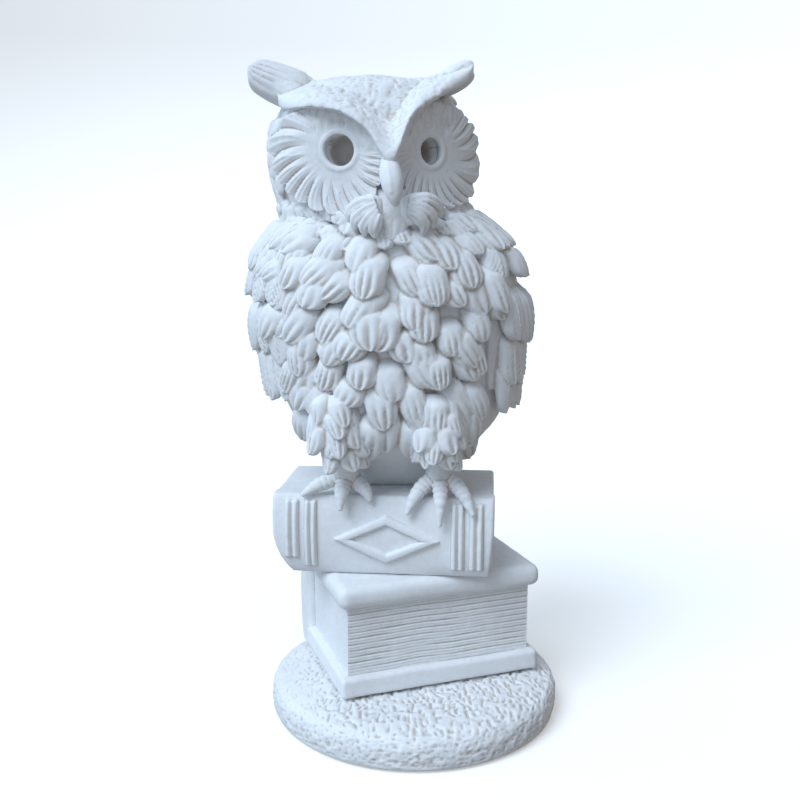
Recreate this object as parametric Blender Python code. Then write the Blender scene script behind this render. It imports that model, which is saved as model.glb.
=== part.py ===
"""Plaster owl standing on two stacked books on a round plinth.

Lengths are written in millimetres and turned into metres when a mesh is made.
The origin is the centre of the flat underside of the plinth. The owl faces -Y,
+X is the viewer's right, +Z is up. Names ending in _l or _r are the viewer's
left and right from the front.
"""

import math

import bmesh
import bpy
import numpy as np
from mathutils import Matrix, Vector

MM = 0.001
GAP = 0.3

# Plinth
PLINTH_RADIUS = 56.0
PLINTH_TOP = 15.2
PLINTH_RIM = 12.0

# Lower book: centre, half length, half depth, turn in degrees, levels
LOW_CENTRE = (1.5, 6.1)
LOW_HALF = (39.5, 27.5)
LOW_TURN = 19.5
LOW_BOTTOM = 15.5
LOW_BOARD = 8.0
LOW_PAGE_TOP = 48.6
LOW_TOP = 57.4
LOW_INSET = 3.4
LOW_PAGE_GROOVES = 11
LOW_SPINE_BULGE = 7.0

# Upper book: its spine faces the front
UP_CENTRE = (-9.8, 5.0)
UP_HALF = (40.4, 20.5)
UP_TURN = -5.5
UP_BOTTOM = 57.7
UP_TOP = 87.2
UP_BOARD = 4.6
UP_SPINE_BULGE = 4.2
UP_SPINE_DEPTH = 5.0
BAND_SPANS = ((-35.9, -30.0), (-28.7, -23.4), (24.6, 30.0), (31.1, 36.9))
BAND_HEIGHT = 1.7
DIAMOND_CENTRE = (1.6, 71.6)
DIAMOND_OUTER = (19.4, 9.4)
DIAMOND_INNER = (12.4, 5.3)
DIAMOND_HEIGHT = 1.6

# Owl trunk and head: height, centre x, centre y, half width, half depth
TRUNK = (
    (87.6, -8.0, 6.0, 17.5, 14.0),
    (96.0, -8.0, 7.0, 25.5, 19.5),
    (104.0, -7.2, 7.5, 32.5, 26.0),
    (112.0, -7.0, 7.0, 38.5, 31.0),
    (120.0, -7.5, 6.5, 42.0, 33.5),
    (135.0, -8.8, 6.0, 44.5, 35.5),
    (150.0, -9.6, 5.0, 47.0, 36.0),
    (164.0, -10.0, 4.0, 45.8, 35.0),
    (172.0, -10.4, 3.5, 43.5, 33.5),
    (179.0, -11.0, 3.0, 38.0, 31.0),
    (184.0, -12.5, 2.5, 33.5, 29.0),
    (190.0, -15.0, 2.2, 32.5, 29.0),
    (200.0, -16.2, 2.0, 34.0, 31.0),
    (209.0, -16.5, 2.0, 34.5, 32.0),
    (217.0, -16.5, 2.0, 33.5, 31.5),
    (225.0, -16.5, 2.0, 30.5, 29.0),
    (230.5, -16.5, 2.0, 25.0, 24.5),
    (233.6, -16.5, 2.0, 14.0, 15.0),
)
NECK = 187.6
CORE_INSET = 0.6
HEAD_TURN = 11.0

# Feather rows
BREAST_LEVELS = (183.0, 172.0, 161.0, 149.5, 138.0, 126.5, 116.0, 107.0)
BREAST_SPREAD = (40.0, 52.0, 57.0, 57.0, 55.0, 51.0, 44.0)
BREAST_FEATHERS = (7, 8, 9, 9, 8, 8, 6)
WING_LEVELS_L = (181.0, 164.0, 153.0, 137.5, 120.0)
WING_LEVELS_R = (181.0, 170.0, 158.5, 141.0, 126.5)
WING_LINE_TOP = 46.0
WING_LINE_LOW = 58.0
WING_LINE_LEVELS = (181.0, 150.0)
WING_OUTER = 112.0
BACK_LEVELS = (181.0, 166.0, 150.0, 134.0)
FEATHER_HEIGHT = 6.0
WING_HEIGHT = 7.0
ROW_TOP_HEIGHT = 2.4

# Face
EYE_SIDE = 15.3
EYE_LEVEL = 207.4
EYE_RADIUS = 5.3
EYE_DEPTH = 13.0
DISC_SIDE = 27.0
DISC_MIDDLE = 14.2
DISC_DOWN = 20.5
DISC_UP = 13.5
DISC_VANES = 16

PLASTER = (0.83, 0.84, 0.86, 1.0)
PLASTER_ROUGHNESS = 0.72


def clear_scene():
    for obj in list(bpy.data.objects):
        bpy.data.objects.remove(obj, do_unlink=True)


def plaster(name):
    material = bpy.data.materials.new(name + "_plaster")
    material.use_nodes = True
    shader = material.node_tree.nodes["Principled BSDF"]
    shader.inputs["Base Color"].default_value = PLASTER
    shader.inputs["Roughness"].default_value = PLASTER_ROUGHNESS
    shader.inputs["Metallic"].default_value = 0.0
    return material


def make_object(name, points, faces, helper=False):
    """A named object from points in millimetres, its faces all turned outwards."""
    mesh = bpy.data.meshes.new(name)
    mesh.from_pydata([tuple(float(c) * MM for c in p) for p in points], [], faces)
    work = bmesh.new()
    work.from_mesh(mesh)
    bmesh.ops.remove_doubles(work, verts=work.verts, dist=1e-6)
    bmesh.ops.recalc_face_normals(work, faces=work.faces)
    if work.calc_volume(signed=True) < 0:
        bmesh.ops.reverse_faces(work, faces=work.faces)
    work.to_mesh(mesh)
    work.free()
    obj = bpy.data.objects.new(name, mesh)
    bpy.context.scene.collection.objects.link(obj)
    if helper:
        obj.hide_render = True
        obj.display_type = "WIRE"
    else:
        mesh.materials.append(plaster(name))
    return obj


def grown_copy(obj, amount):
    """A helper of the same shape with every side moved out by amount."""
    work = bmesh.new()
    work.from_mesh(obj.data)
    bmesh.ops.triangulate(work, faces=work.faces)
    work.normal_update()
    moves = [(v, v.normal * v.calc_shell_factor() * amount * MM) for v in work.verts]
    for vert, move in moves:
        if move.length > 3 * amount * MM:
            move = move.normalized() * 3 * amount * MM
        vert.co += move
    mesh = bpy.data.meshes.new(obj.name + "_grown")
    work.to_mesh(mesh)
    work.free()
    helper = bpy.data.objects.new(obj.name + "_grown", mesh)
    bpy.context.scene.collection.objects.link(helper)
    helper.hide_render = True
    helper.display_type = "WIRE"
    return helper


def largest_piece(mesh):
    """Keeps the largest connected body of a mesh and drops crumbs of a cut."""
    work = bmesh.new()
    work.from_mesh(mesh)
    bmesh.ops.remove_doubles(work, verts=work.verts, dist=2e-6)
    left = set(work.verts)
    bodies = []
    while left:
        stack = [left.pop()]
        body = set(stack)
        while stack:
            for edge in stack.pop().link_edges:
                for vert in edge.verts:
                    if vert in left:
                        left.discard(vert)
                        body.add(vert)
                        stack.append(vert)
        bodies.append(body)
    keep = max(bodies, key=len)
    bmesh.ops.delete(work, geom=[v for v in work.verts if v not in keep], context="VERTS")
    bmesh.ops.dissolve_degenerate(work, dist=1e-6, edges=work.edges)
    bmesh.ops.triangulate(work, faces=work.faces)
    work.to_mesh(mesh)
    work.free()


def cut(obj, helpers):
    """Takes each helper's volume out of obj, then removes the helpers."""
    for helper in helpers:
        modifier = obj.modifiers.new("cut", "BOOLEAN")
        modifier.operation = "DIFFERENCE"
        modifier.solver = "EXACT"
        modifier.object = helper
    bpy.context.view_layer.update()
    graph = bpy.context.evaluated_depsgraph_get()
    mesh = bpy.data.meshes.new_from_object(obj.evaluated_get(graph))
    obj.modifiers.clear()
    obj.data = mesh
    largest_piece(mesh)
    for helper in helpers:
        bpy.data.objects.remove(helper, do_unlink=True)


def cut_by(obj, others, amount=GAP):
    cut(obj, [grown_copy(other, amount) for other in others])


def place(obj, centre, turn, level=0.0):
    obj.location = (centre[0] * MM, centre[1] * MM, level * MM)
    obj.rotation_euler = (0.0, 0.0, math.radians(turn))


def freeze(obj):
    """Applies the object's placement to its mesh, so that cuts use one frame."""
    bpy.context.view_layer.update()
    obj.data.transform(obj.matrix_world)
    obj.matrix_world = Matrix.Identity(4)


def rounded_box(name, half, bottom, top, round_by, segments=2):
    hx, hy = half
    corners = [(x, y, z) for z in (bottom, top) for y in (-hy, hy) for x in (-hx, hx)]
    faces = [(0, 2, 3, 1), (4, 5, 7, 6), (0, 1, 5, 4), (2, 6, 7, 3), (0, 4, 6, 2), (1, 3, 7, 5)]
    obj = make_object(name, corners, faces)
    work = bmesh.new()
    work.from_mesh(obj.data)
    bmesh.ops.bevel(
        work, geom=list(work.edges), offset=round_by * MM, offset_type="OFFSET",
        segments=segments, profile=0.5, affect="EDGES", clamp_overlap=True,
    )
    work.to_mesh(obj.data)
    work.free()
    return obj


def grid_faces(rows, cols, closed_cols):
    faces = []
    last = cols if closed_cols else cols - 1
    for i in range(rows - 1):
        for j in range(last):
            k = (j + 1) % cols
            faces.append((i * cols + j, i * cols + k, (i + 1) * cols + k, (i + 1) * cols + j))
    return faces


def lofted(name, rings):
    """A closed solid through rings of equal point counts, capped at both ends."""
    rows, cols = len(rings), len(rings[0])
    points = [p for ring in rings for p in ring]
    faces = grid_faces(rows, cols, True)
    faces.append(tuple(range(cols)))
    faces.append(tuple(range((rows - 1) * cols, rows * cols))[::-1])
    return make_object(name, points, faces)


def extruded(name, profile, ends):
    """A profile of (y, z) points carried along x. ends(y, z) gives both x values."""
    spans = [ends(y, z) for y, z in profile]
    rings = [[(span[side], y, z) for span, (y, z) in zip(spans, profile)] for side in (0, 1)]
    return lofted(name, rings)


def smooth_table(rows, z):
    """Catmull-Rom reading of a table of stations at height z."""
    rows = [np.array(r, float) for r in rows]
    z = min(max(z, rows[0][0]), rows[-1][0])
    k = max(i for i in range(len(rows) - 1) if rows[i][0] <= z)
    a, b = rows[k], rows[k + 1]
    before = rows[k - 1] if k > 0 else a
    after = rows[k + 2] if k + 2 < len(rows) else b
    t = (z - a[0]) / (b[0] - a[0])
    ma = (b - before) / max(b[0] - before[0], 1e-6) * (b[0] - a[0])
    mb = (after - a) / max(after[0] - a[0], 1e-6) * (b[0] - a[0])
    t2, t3 = t * t, t * t * t
    return (2 * t3 - 3 * t2 + 1) * a + (t3 - 2 * t2 + t) * ma + (3 * t2 - 2 * t3) * b + (t3 - t2) * mb


def skin_point(angle, z):
    """A point on the owl's smooth trunk and head. Angle 0 is the front, + is +X."""
    _, cx, cy, a, b = smooth_table(TRUNK, z)
    s, c = math.sin(math.radians(angle)), math.cos(math.radians(angle))
    return np.array([cx + a * s, cy - b * c, z])


def skin_normal(angle, z):
    across = skin_point(angle + 0.5, z) - skin_point(angle - 0.5, z)
    low, high = max(z - 0.5, TRUNK[0][0]), min(z + 0.5, TRUNK[-1][0])
    along = skin_point(angle, high) - skin_point(angle, low)
    normal = np.cross(across, along)
    return normal / np.linalg.norm(normal)


def on_skin(angle, z, out):
    return skin_point(angle, z) + skin_normal(angle, z) * out


def trunk_solid(name, low, high, rings=14, sides=28, inset=CORE_INSET):
    levels = [low + (high - low) * (0.5 - 0.5 * math.cos(math.pi * i / rings)) for i in range(rings + 1)]
    loops = []
    for z in levels:
        _, cx, cy, a, b = smooth_table(TRUNK, z)
        loops.append([
            (cx + (a - inset) * math.sin(2 * math.pi * j / sides),
             cy - (b - inset) * math.cos(2 * math.pi * j / sides), z)
            for j in range(sides)
        ])
    return lofted(name, loops)


def shell(name, rows, cols, where, height, inner=GAP):
    """A closed patch on the skin. where(u, v) is (angle, z), height(u, v) its thickness."""
    under, over = [], []
    for i in range(rows + 1):
        for j in range(cols + 1):
            u, v = j / cols, i / rows
            angle, z = where(u, v)
            under.append(on_skin(angle, z, inner))
            over.append(on_skin(angle, z, inner + max(height(u, v), 0.6)))
    n, width = len(under), cols + 1
    faces = [tuple(k + n for k in f) for f in grid_faces(rows + 1, width, False)]
    faces += [f[::-1] for f in grid_faces(rows + 1, width, False)]
    rim = list(range(width)) + [i * width + cols for i in range(1, rows + 1)]
    rim += [rows * width + j for j in range(cols - 1, -1, -1)]
    rim += [i * width for i in range(rows - 1, 0, -1)]
    for a, b in zip(rim, rim[1:] + rim[:1]):
        faces.append((a, b, b + n, a + n))
    return make_object(name, under + over, faces)


def dome(m):
    return math.sqrt(max(0.0, 1.0 - m * m))


def scallop(angle, first, last, count):
    """Position across the feather at this angle, from -1 to 1."""
    t = (angle - first) / (last - first) * count
    return 2 * (t - math.floor(t)) - 1


def row_edge(level, first, last, count, drop):
    def edge(angle):
        return level - drop * dome(scallop(angle, first, last, count) * 0.96)
    return edge


def wing_line(z):
    """Skin angle at which the breast ends and the wings begin, at height z."""
    top, low = WING_LINE_LEVELS
    t = min(max((top - z) / (top - low), 0.0), 1.0)
    return WING_LINE_TOP + (WING_LINE_LOW - WING_LINE_TOP) * t


def feather_row(name, span, top_edge, low_edge, count, per_feather=3, rows=2, height=FEATHER_HEIGHT,
                limits=None):
    first, last = span

    def where(u, v):
        middle = (first + last) / 2
        z = top_edge(middle) + (low_edge(middle) - top_edge(middle)) * v
        a, b = limits(z) if limits else span
        a, b = max(a, first), min(b, last)
        angle = a + (b - a) * u
        z_top, z_low = top_edge(angle) - GAP, low_edge(angle) + GAP
        return angle, z_top + (z_low - z_top) * v

    def thick(u, v):
        m = scallop(first + (last - first) * u, first, last, count) if 0 < u < 1 else 1.0
        tall = ROW_TOP_HEIGHT + (height - ROW_TOP_HEIGHT) * math.sin(min(v * 1.25, 1.0) * math.pi / 2)
        return tall * (0.62 + 0.38 * dome(m))

    return shell(name, rows, count * per_feather, where, thick)


def feather_tiers(prefix, levels, spans, counts, drop=3.6, height=FEATHER_HEIGHT, limits=None):
    """Rows of overlapping feathers, each lower edge being the next row's upper edge."""
    made = []
    upper = lambda angle: levels[0]
    for k, (span, count) in enumerate(zip(spans, counts)):
        lower = row_edge(levels[k + 1], span[0], span[1], count, drop)
        made.append(feather_row(f"{prefix}_{k + 1}", span, upper, lower, count, height=height,
                                limits=limits))
        upper = (lambda level: lambda angle: level)(levels[k + 1] - drop - GAP)
    return made


def tube(name, path, sizes, sides=10, flat=1.0):
    """A rounded limb along path. sizes are radii across and flat scales the other way."""
    path = [np.array(p, float) for p in path]
    rings = []
    across = np.array([1.0, 0.0, 0.0])
    for i, point in enumerate(path):
        ahead = path[min(i + 1, len(path) - 1)] - path[max(i - 1, 0)]
        ahead /= np.linalg.norm(ahead)
        if i == 0 and abs(ahead[0]) > 0.8:
            across = np.array([0.0, -math.copysign(1.0, ahead[0]), 0.0])
        across = across - ahead * np.dot(across, ahead)
        across /= np.linalg.norm(across)
        up = np.cross(across, ahead)
        rings.append([
            point + across * sizes[i] * flat * math.cos(t) + up * sizes[i] * math.sin(t)
            for t in (2 * math.pi * j / sides for j in range(sides))
        ])
    return lofted(name, rings)


def plinth():
    profile = (
        (52.5, 0.0), (55.2, 1.6), (PLINTH_RADIUS, 5.0), (55.4, 9.0), (53.0, PLINTH_RIM),
        (47.5, 14.2), (38.0, PLINTH_TOP - 0.05),
    )
    rings = [
        [(r * math.cos(t), r * math.sin(t), z) for t in (2 * math.pi * j / 48 for j in range(48))]
        for r, z in profile
    ]
    lofted("base_plinth", rings)


def lower_book():
    hx, hy = LOW_HALF
    made = [
        rounded_box("lower_book_bottom_board", (hx, hy), LOW_BOTTOM, LOW_BOTTOM + LOW_BOARD, 1.2),
        rounded_box("lower_book_top_board", (hx + 0.8, hy + 0.8), LOW_PAGE_TOP + GAP, LOW_TOP, 3.2, 3),
    ]
    low, high = LOW_BOTTOM + LOW_BOARD + GAP, LOW_PAGE_TOP
    front, back = -hy + LOW_INSET, hy + 0.4
    pitch = (high - low) / LOW_PAGE_GROOVES
    profile = [(back, low), (front, low)]
    for k in range(1, LOW_PAGE_GROOVES):
        z = low + k * pitch
        profile += [(front, z - 0.35), (front + 0.7, z), (front, z + 0.35)]
    profile += [(front, high), (back, high)]
    side = hx - LOW_INSET
    made.append(extruded("lower_book_page_block", profile, lambda y, z: (-side, side)))
    start, middle = hy + 0.8 + GAP, (LOW_BOTTOM + LOW_TOP) / 2
    reach = (LOW_TOP - LOW_BOTTOM) / 2
    arc = [math.radians(a) for a in range(-90, 91, 15)]
    profile = [(start + (LOW_SPINE_BULGE - 0.5) * math.cos(t), middle + reach * math.sin(t)) for t in arc]
    profile = [(start - 0.01, LOW_BOTTOM)] + profile + [(start - 0.01, LOW_TOP)]
    made.append(extruded("lower_book_spine", profile, lambda y, z: (-hx, hx)))
    for obj in made:
        place(obj, LOW_CENTRE, LOW_TURN)
        freeze(obj)


def spine_face(z):
    """Distance of the upper book's spine surface in front of its boards."""
    t = (z - (UP_BOTTOM + UP_TOP) / 2) / ((UP_TOP - UP_BOTTOM) / 2)
    return UP_SPINE_BULGE * dome(min(abs(t), 1.0) * 0.97)


def spine_strip(name, x_low, x_high, height, level_low, level_high, steps=12):
    """A raised strip that follows the barrel of the spine."""
    front = -UP_HALF[1]
    levels = [level_low + (level_high - level_low) * i / steps for i in range(steps + 1)]
    profile = [(front - spine_face(z) - GAP, z) for z in levels]
    profile += [(front - spine_face(z) - GAP - height, z) for z in reversed(levels)]
    return extruded(name, profile, lambda y, z: (x_low, x_high))


def diamond():
    """An open lozenge frame raised from the spine."""
    cx, cz = DIAMOND_CENTRE
    front = -UP_HALF[1]
    per_side, points = 6, []
    rings = []
    for size, height in (
        (DIAMOND_OUTER, 0.0), (DIAMOND_OUTER, DIAMOND_HEIGHT),
        (DIAMOND_INNER, DIAMOND_HEIGHT), (DIAMOND_INNER, 0.0),
    ):
        corners = [(size[0], 0), (0, size[1]), (-size[0], 0), (0, -size[1])]
        ring = []
        for k in range(4):
            (ax, az), (bx, bz) = corners[k], corners[(k + 1) % 4]
            for i in range(per_side):
                t = i / per_side
                x, z = cx + ax + (bx - ax) * t, cz + az + (bz - az) * t
                ring.append((x, front - spine_face(z) - GAP - height, z))
        rings.append(ring)
    cols = len(rings[0])
    points = [p for ring in rings for p in ring]
    faces = []
    for i in range(4):
        for j in range(cols):
            a, b = i * cols + j, i * cols + (j + 1) % cols
            c, d = ((i + 1) % 4) * cols + (j + 1) % cols, ((i + 1) % 4) * cols + j
            faces.append((a, b, c, d))
    return make_object("upper_book_diamond", points, faces)


def upper_book():
    hx, hy = UP_HALF
    made = [
        rounded_box("upper_book_bottom_board", (hx, hy), UP_BOTTOM, UP_BOTTOM + UP_BOARD, 1.0),
        rounded_box("upper_book_top_board", (hx, hy), UP_TOP - UP_BOARD, UP_TOP, 1.0),
    ]
    for obj in made:
        for vert in obj.data.vertices:
            if vert.co.y < 0:
                vert.co.y = vert.co.y + UP_SPINE_DEPTH * MM
    low, high = UP_BOTTOM + UP_BOARD + GAP, UP_TOP - UP_BOARD - GAP
    pitch = (high - low) / 9
    back = hy - 2.4
    profile = [(back, high), (-hy + UP_SPINE_DEPTH + GAP, high), (-hy + UP_SPINE_DEPTH + GAP, low), (back, low)]
    for k in range(1, 9):
        z = low + k * pitch
        profile += [(back, z - 0.35), (back - 0.7, z), (back, z + 0.35)]
    made.append(extruded("upper_book_page_block", profile, lambda y, z: (-hx + 2.4, hx - 2.4)))
    levels = [UP_BOTTOM + (UP_TOP - UP_BOTTOM) * (0.5 - 0.5 * math.cos(math.pi * i / 14)) for i in range(15)]
    profile = [(-hy - spine_face(z), z) for z in levels]
    profile += [(-hy + UP_SPINE_DEPTH - GAP, UP_TOP), (-hy + UP_SPINE_DEPTH - GAP, UP_BOTTOM)]

    def ends(y, z):
        tuck = max(0.0, 1.0 - (z - UP_BOTTOM) / 17.0)
        return (-hx + 6.5 * tuck * tuck, hx - 1.5 * tuck)

    spine = extruded("upper_book_spine", profile, ends)
    made.append(spine)
    for k, (x_low, x_high) in enumerate(BAND_SPANS):
        low_end = UP_BOTTOM + (2.6 if k else 6.0)
        made.append(spine_strip(f"upper_book_band_{k + 1}", x_low, x_high, BAND_HEIGHT, low_end, UP_TOP - 1.6))
    made.append(diamond())
    for obj in made:
        place(obj, UP_CENTRE, UP_TURN)
        freeze(obj)


def face_angle(side):
    """Skin angle of an eye, and of the other face parts from the beak line."""
    return HEAD_TURN + side


def facial_disc(name, side):
    """A dished, vaned ring round one eye, lying on the head."""
    rings, sides = 4, 2 * DISC_VANES
    eye_angle = face_angle(side * 26.0)
    under, over = [], []
    for i in range(rings + 1):
        t = i / rings
        for j in range(sides):
            turn = 2 * math.pi * j / sides
            c, s = math.cos(turn), math.sin(turn)
            reach_x = DISC_SIDE if c > 0 else DISC_MIDDLE
            reach_z = DISC_UP if s > 0 else DISC_DOWN
            reach = 1.0 / math.sqrt((c / reach_x) ** 2 + (s / reach_z) ** 2)
            vane = 0.5 + 0.5 * math.cos(DISC_VANES * turn)
            reach *= 1.0 - 0.05 * vane
            dist = EYE_RADIUS + (reach - EYE_RADIUS) * t
            z = EYE_LEVEL + dist * s
            angle = eye_angle + side * math.degrees(dist * c / 34.5)
            lift = 2.2 + 1.8 * t * t + (1.0 if i == 0 else 0.0)
            lift += 0.7 * (0.5 - vane) * t
            if i == rings:
                lift -= 1.4
            under.append(on_skin(angle, z, GAP))
            over.append(on_skin(angle, z, GAP + lift))
    n = len(under)
    faces = [tuple(k + n for k in f) for f in grid_faces(rings + 1, sides, True)]
    faces += [f[::-1] for f in grid_faces(rings + 1, sides, True)]
    for row in (0, rings):
        for j in range(sides):
            a, b = row * sides + j, row * sides + (j + 1) % sides
            faces.append((a, b, b + n, a + n) if row == 0 else (b, a, a + n, b + n))
    return make_object(name, under + over, faces)


def eye_bore(name, side):
    """The round socket, square to the skin at the eye, sunk into the head."""
    angle = face_angle(side * 26.0)
    middle = skin_point(angle, EYE_LEVEL)
    out = skin_normal(angle, EYE_LEVEL)
    out[2] = 0.0
    out /= np.linalg.norm(out)
    across = np.cross(out, (0, 0, 1))
    rings = []
    for reach in (9.0, -EYE_DEPTH):
        rings.append([
            middle + out * reach + EYE_RADIUS * (across * math.cos(t) + np.array([0, 0, 1]) * math.sin(t))
            for t in (2 * math.pi * j / 24 for j in range(24))
        ])
    rows, cols = 2, 24
    points = [p for ring in rings for p in ring]
    faces = grid_faces(rows, cols, True) + [tuple(range(cols)), tuple(range(cols, 2 * cols))[::-1]]
    return make_object(name, points, faces, helper=True)


def brow(name, side):
    """A brow ridge that runs from the forehead out into the ear tuft."""
    if side < 0:
        path = [(-11.0, -32.0, 211.5), (-14.5, -33.5, 215.5), (-22.0, -35.0, 219.0), (-31.0, -31.5, 220.6),
                (-39.5, -24.0, 223.2), (-46.5, -17.0, 228.4), (-51.5, -13.0, 232.6), (-54.0, -11.5, 234.9)]
        sizes = [2.4, 4.2, 5.2, 6.0, 6.8, 6.8, 5.6, 2.6]
    else:
        path = [(-9.0, -32.2, 211.5), (-5.5, -33.0, 216.2), (1.0, -30.5, 219.6), (7.5, -25.5, 222.8),
                (12.5, -19.5, 227.0), (15.5, -15.0, 231.6), (17.2, -12.5, 235.4), (18.2, -12.0, 238.2)]
        sizes = [2.4, 4.2, 5.2, 5.8, 6.2, 5.8, 4.4, 1.8]
    return tube(name, path, sizes, sides=12, flat=0.8)


def beak():
    path = [(-10.2, -31.0, 210.5), (-9.8, -34.5, 205.5), (-8.9, -38.3, 200.0), (-7.9, -40.6, 195.0),
            (-7.2, -41.0, 191.0), (-6.8, -39.8, 188.6)]
    return tube("beak", path, [1.6, 3.0, 3.6, 3.2, 2.1, 0.9], sides=12, flat=0.9)


def forehead():
    """The crown's plumage, which runs down to a point between the brows."""
    def where(u, v):
        half = 48.0 - 44.0 * v ** 0.8
        return HEAD_TURN - half + 2 * half * u, 231.5 - 15.0 * v

    return shell("forehead", 4, 10, where, lambda u, v: 1.2 + 2.2 * v, inner=GAP * 1.5)


def chin_parts():
    """Bristle lobes each side of the beak and the plain bib between them."""
    made = []
    for name, first, last, top, low, count in (
        ("chin_lobe_l", -24.0, 1.0, 190.5, 182.0, 4),
        ("chin_lobe_r", 18.0, 40.0, 191.5, 182.0, 4),
    ):
        def where(u, v, first=first, last=last, top=top, low=low):
            return first + (last - first) * u, top + (low - 3.0 * dome(2 * u - 1) - top) * v

        def thick(u, v, count=count):
            return (3.6 + 3.4 * dome(2 * v - 1)) * (0.75 + 0.25 * dome(scallop(u, 0, 1, count)))

        made.append(shell(name, 3, 8, where, thick))

    def where(u, v):
        return 2.5 + 14.0 * u, 189.5 - (8.5 + 3.0 * dome(2 * u - 1)) * v

    made.append(shell("chin_bib", 3, 4, where, lambda u, v: 4.4 + 1.2 * math.sin(v * 3)))
    return made


def neck_ruff():
    """Small ragged feathers under each facial disc and round the nape."""
    made = []
    for name, first, last, count in (("neck_ruff_l", -88.0, -26.0, 7), ("neck_ruff_r", 42.0, 100.0, 6)):
        lower = row_edge(185.2, first, last, count, 1.6)
        made.append(feather_row(name, (first, last), lambda angle: 189.6, lower, count, 2, 1, 3.0))
    lower = row_edge(185.2, 102.0, 270.0, 14, 1.6)
    made.append(feather_row("nape_ruff", (102.0, 270.0), lambda angle: 200.0, lower, 14, 2, 2, 2.6))
    return made


def leg(name, hip, ankle, wide):
    hip, ankle = np.array(hip, float), np.array(ankle, float)
    path = [hip + (ankle - hip) * t for t in (0.0, 0.25, 0.5, 0.75, 1.0)]
    return tube(name, path, [wide * f for f in (0.6, 1.0, 0.98, 0.8, 0.5)], sides=12, flat=1.0)


def toe(name, start, knuckle, edge, tip):
    path = [start, knuckle, edge, tip]
    dense, sizes = [], []
    base = (3.0, 3.1, 2.8, 1.5)
    for k in range(3):
        a, b = np.array(path[k], float), np.array(path[k + 1], float)
        for i in range(3):
            t = i / 3
            dense.append(a + (b - a) * t)
            sizes.append((base[k] + (base[k + 1] - base[k]) * t) * (1.06 if i == 1 else 0.97))
    dense.append(np.array(tip, float))
    sizes.append(0.9)
    return tube(name, dense, sizes, sides=10)


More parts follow.
